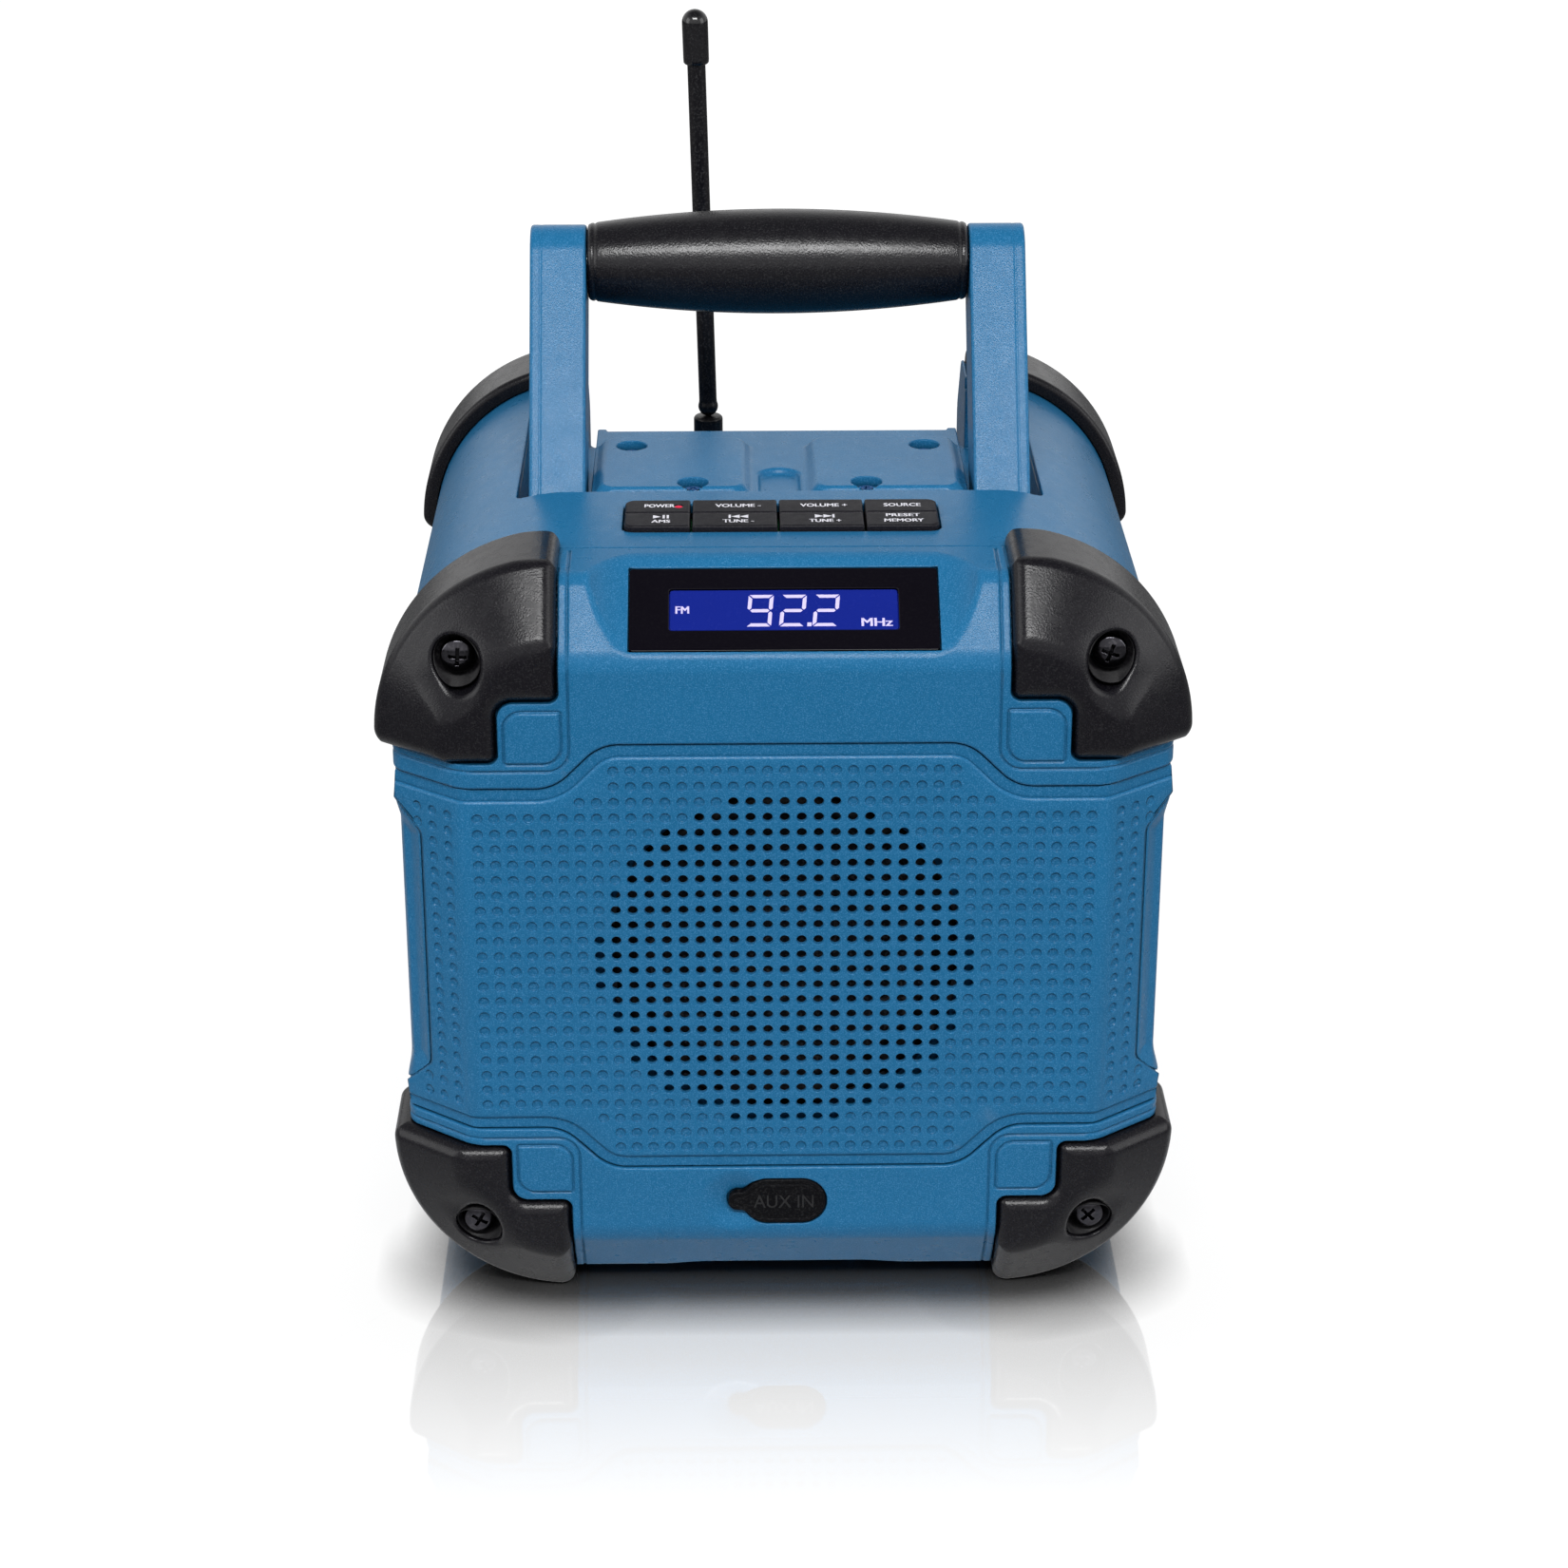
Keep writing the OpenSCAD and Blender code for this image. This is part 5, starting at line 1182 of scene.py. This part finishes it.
def digit(segments, x0, t=1.0, e=0.26, slant=0.085):
    """Lit bars, t wide, of a slanted seven-bar digit; segments are letters a to g."""
    x1, y0, y1, h = x0 + 6.55, -5.4, 4.8, t / 2
    ym = (y0 + y1) / 2
    forms = {
        "a": [(x0 + e, y1), (x0 + t + e, y1 - t), (x1 - t - e, y1 - t), (x1 - e, y1)],
        "d": [(x0 + e, y0), (x1 - e, y0), (x1 - t - e, y0 + t), (x0 + t + e, y0 + t)],
        "g": [(x0 + h + e, ym), (x0 + t + e, ym - h), (x1 - t - e, ym - h), (x1 - h - e, ym),
              (x1 - t - e, ym + h), (x0 + t + e, ym + h)],
        "f": [(x0, y1 - e), (x0, ym + e + h), (x0 + h, ym + e), (x0 + t, ym + e + h),
              (x0 + t, y1 - t - e)],
        "b": [(x1, y1 - e), (x1 - t, y1 - t - e), (x1 - t, ym + e + h), (x1 - h, ym + e),
              (x1, ym + e + h)],
        "e": [(x0, y0 + e), (x0 + t, y0 + t + e), (x0 + t, ym - e - h), (x0 + h, ym - e),
              (x0, ym - e - h)],
        "c": [(x1, y0 + e), (x1, ym - e - h), (x1 - h, ym - e), (x1 - t, ym - e - h),
              (x1 - t, y0 + t + e)]}
    out = []
    for s in segments:
        pts = [(x + (y - ym) * slant, y) for x, y in forms[s]]
        area = sum(a[0] * b[1] - b[0] * a[1] for a, b in zip(pts, pts[1:] + pts[:1]))
        out.append(prism(pts if area > 0 else pts[::-1], *LIT))
    return out


lit = digit("abcdfg", -9.55) + digit("abged", -0.9) + digit("abged", 7.75)
lit.append(prism([(5.95, -5.4), (7.1, -5.4), (7.2, -4.2), (6.05, -4.2)], *LIT))
lit.append(lettering("MHz", (20.1, -5.46, 28.3, -2.85), *LIT, 0.12))
lit.append(lettering("FM", (-28.3, -1.1, -24.7, 1.23), *LIT, 0.1))
piece("lcd_digits", "casing", "display_blue", gathered(lit), mat="segment_light", place=slope,
      smooth_faces=False)

# ------------------------------------------------------------------ key labels
ICON_Y, ICON_H = -55.0, 1.3
LABEL_Z = (215.04, 215.13)


def triangle(x0, x1):
    """Outline of an arrow head from x0 to its point at x1."""
    p = [(x0, ICON_Y - ICON_H), (x1, ICON_Y), (x0, ICON_Y + ICON_H)]
    return p if x0 < x1 else p[::-1]


def bar(x0):
    x1 = x0 + 0.6
    return [(x0, ICON_Y - ICON_H), (x1, ICON_Y - ICON_H), (x1, ICON_Y + ICON_H),
            (x0, ICON_Y + ICON_H)]


words = {
    "power": [("POWER", -37.2, -28.9, -46.1)],
    "volume_down": [("VOLUME -", -17.9, -5.5, -46.1)],
    "volume_up": [("VOLUME +", 5.2, 18.0, -46.1)],
    "source": [("SOURCE", 27.9, 38.0, -46.1)],
    "play": [("AMS", -35.1, -30.0, -58.6)],
    "tune_down": [("TUNE -", -15.9, -7.5, -58.6)],
    "tune_up": [("TUNE +", 7.4, 16.05, -58.6)],
    "memory": [("PRESET", 28.2, 37.45, -54.4), ("MEMORY", 27.6, 38.3, -58.6)]}
icons = {
    "play": [triangle(-34.7, -32.6), bar(-32.1), bar(-31.0)],
    "tune_down": [bar(-14.3), triangle(-11.3, -13.6), triangle(-9.0, -11.3)],
    "tune_up": [triangle(9.0, 11.3), triangle(11.3, 13.6), bar(13.7)]}
for nm, rows in words.items():
    half = 1.25 if nm in KEY_NAMES[0] else 1.15
    parts = [lettering(t, (x0, y - half, x1, y + half), *LABEL_Z, 0.08) for t, x0, x1, y in rows]
    parts += [prism(o, *LABEL_Z) for o in icons.get(nm, [])]
    piece("label_" + nm, "key_" + nm, "key_rubber", gathered(parts), mat="label_white",
          smooth_faces=False)
lens = [(0, 213.65), (1.08, 213.65), (1.08, 214.9)] + arc(0, 214.3, 0.95, 40, 90, 5)[:-1]
lathe_piece("led_lens", "key_power", "red_lens", ["power_led"], lens + [(0, 215.2)],
            move(*LED, 0), steps=32)

# ------------------------------------------------------------------ socket flaps
made = carve(flap, (-15.6, 0, -6.9), (11.4, 2.4, 6.9), 0.28, 0.35)
upright = turn(90, "X")
at_aux, at_dc = move(AUX[0], -FACE_Y, AUX[1]), move(DC[0], FACE_Y, DC[1])
piece("flap_aux", "aux_flap", "flap_rubber", made, ["aux_flap"], place=at_aux)
piece("flap_dc", "dc_flap", "flap_rubber", made, ["dc_flap"], place=at_dc @ mirror(1, -1))
for nm, text, x0, x1, place in (("aux", "AUX IN", -8.6, 8.0, at_aux),
                                   ("dc", "DC IN", -6.6, 6.6, at_dc @ turn(180, "Z"))):
    piece("mark_" + nm, nm + "_flap", "flap_rubber",
          lettering(text, (x0, -2.0, x1, 2.0), -0.1, 0.08), mat="flap_mark",
          place=place @ upright, smooth_faces=False)

# ------------------------------------------------------------------ finishes of the rest
for nm, ob in frame["nodes"].items():
    if not ob.hide_render:
        ob.data.materials.clear()
        ob.data.materials.append(MATERIALS[NODE_SLOT[nm]])

# ------------------------------------------------------------------ studio
scene = bpy.context.scene
scene.view_settings.view_transform = "Standard"
cam = bpy.data.cameras.new("camera")
cam.lens = 80.5
cam.sensor_width = 36
cam.clip_start = 0.05
cam.clip_end = 50
eye = shown("camera", cam)
eye.location = Vector((-13.4, -950, 531.75)) * MM
pitch, yaw = math.radians(23.85), math.radians(0.9)
look = Vector((math.sin(yaw) * math.cos(pitch), math.cos(yaw) * math.cos(pitch),
               -math.sin(pitch)))
eye.rotation_euler = look.to_track_quat("-Z", "Y").to_euler()
scene.camera = eye


def area(name, at, size, power):
    """A rectangular light that points at the middle of the radio."""
    light = bpy.data.lights.new(name, "AREA")
    light.shape = "RECTANGLE"
    light.size, light.size_y = size
    light.energy = power
    ob = shown(name, light)
    ob.location = at
    to = Vector((0, 0, 0.12)) - Vector(at)
    ob.rotation_euler = to.to_track_quat("-Z", "Y").to_euler()
    return ob


area("key", (0, -1.68, 1.94), (1.6, 0.5), 59)
# Lights the rear for other views, and isn't mirrored in the tops
area("back", (0, 2.1, 1.3), (1.6, 1.2), 14).visible_glossy = False
area("left", (-2.0, -0.7, 0.9), (1.2, 1.4), 12)
area("right", (2.0, -0.7, 0.9), (1.2, 1.4), 12)

world = bpy.data.worlds.new("studio")
scene.world = world
world.use_nodes = True
t = world.node_tree
t.nodes.clear()
rays = node(t, "LightPath", {}).node.outputs
mirrored = maths(t, "MAXIMUM", rays["Is Camera Ray"], rays["Is Glossy Ray"])
# White round the horizon, darker overhead
height = node(t, "SeparateXYZ", {0: node(t, "TexCoord", {}, "Generated")}, "Z")
ramp = node(t, "MapRange", {0: height, 1: 0.46, 2: 0.9, 3: 0.96, 4: 0.2})
seen = node(t, "Background", {"Color": maths(t, "MAXIMUM", ramp, rays["Is Camera Ray"])})
fill = node(t, "Background", {"Color": (0.95, 0.97, 1.0, 1), "Strength": 0.26})
either = maths(t, "MAXIMUM", mirrored, rays["Is Transmission Ray"])
node(t, "OutputWorld", {0: node(t, "MixShader", {0: either, 1: fill, 2: seen})})

FLOOR_REACH = 15000
floor = mesh_object("floor", [(x * FLOOR_REACH, y * FLOOR_REACH, 0)
                              for x, y in ((-1, -1), (1, -1), (1, 1), (-1, 1))], [[0, 1, 2, 3]])
white = bpy.data.materials.new("floor_white")
floor.data.materials.append(white)
white.use_nodes = True
t = white.node_tree
t.nodes.clear()


def sloped(top, v, k, least=0):
    """top - k * v, and not below least."""
    return maths(t, "MAXIMUM", maths(t, "SUBTRACT", top, maths(t, "MULTIPLY", v, k)), least)


# The light level that the camera sees is lifted to white, but ambient occlusion takes the lift
# away where the radio stands: a painted contact shadow.
near = node(t, "AmbientOcclusion", {"Distance": 0.026}, "AO")
free = maths(t, "SUBTRACT", maths(t, "MULTIPLY", near, 1.7), 0.7)
free = maths(t, "MINIMUM", maths(t, "MAXIMUM", free, 0), 1)
lift = node(t, "Emission", {"Strength": maths(t, "MULTIPLY", free, 0.96)})
base = node(t, "BsdfDiffuse", {"Color": (0.12, 0.12, 0.12, 1)})
lifted = node(t, "AddShader", {0: base, 1: lift})
# The polished floor's reflection fades with the distance from the radio
at = node(t, "SeparateXYZ", {0: node(t, "TexCoord", {}, "Object")}).node.outputs
beyond = [maths(t, "MAXIMUM", maths(t, "SUBTRACT", maths(t, "ABSOLUTE", at[axis]), edge), 0)
          for axis, edge in (("X", 0.09), ("Y", 0.092))]
off = maths(t, "SQRT", maths(t, "ADD", *[maths(t, "MULTIPLY", d, d) for d in beyond]))
fade = maths(t, "ADD", sloped(0.52, off, 4.0), sloped(0.3, off, 15.0))
# The reflection also darkens near the radio's footprint: a painted contact shadow.
tone = maths(t, "ADD", 0.22, maths(t, "MULTIPLY", free, 0.78))
gloss = node(t, "BsdfGlossy", {"Color": tone, "Roughness": 0.04})
polished = node(t, "MixShader", {0: fade, 1: lifted, 2: gloss})
# Away from the radio the floor is greyer for all but the camera, as in a dim room
dull = node(t, "BsdfDiffuse", {"Color": sloped(0.62, off, 1.1, 0.22)})
camera_ray = node(t, "LightPath", {}, "Is Camera Ray")
node(t, "OutputMaterial", {0: node(t, "MixShader", {0: camera_ray, 1: dull, 2: polished})})
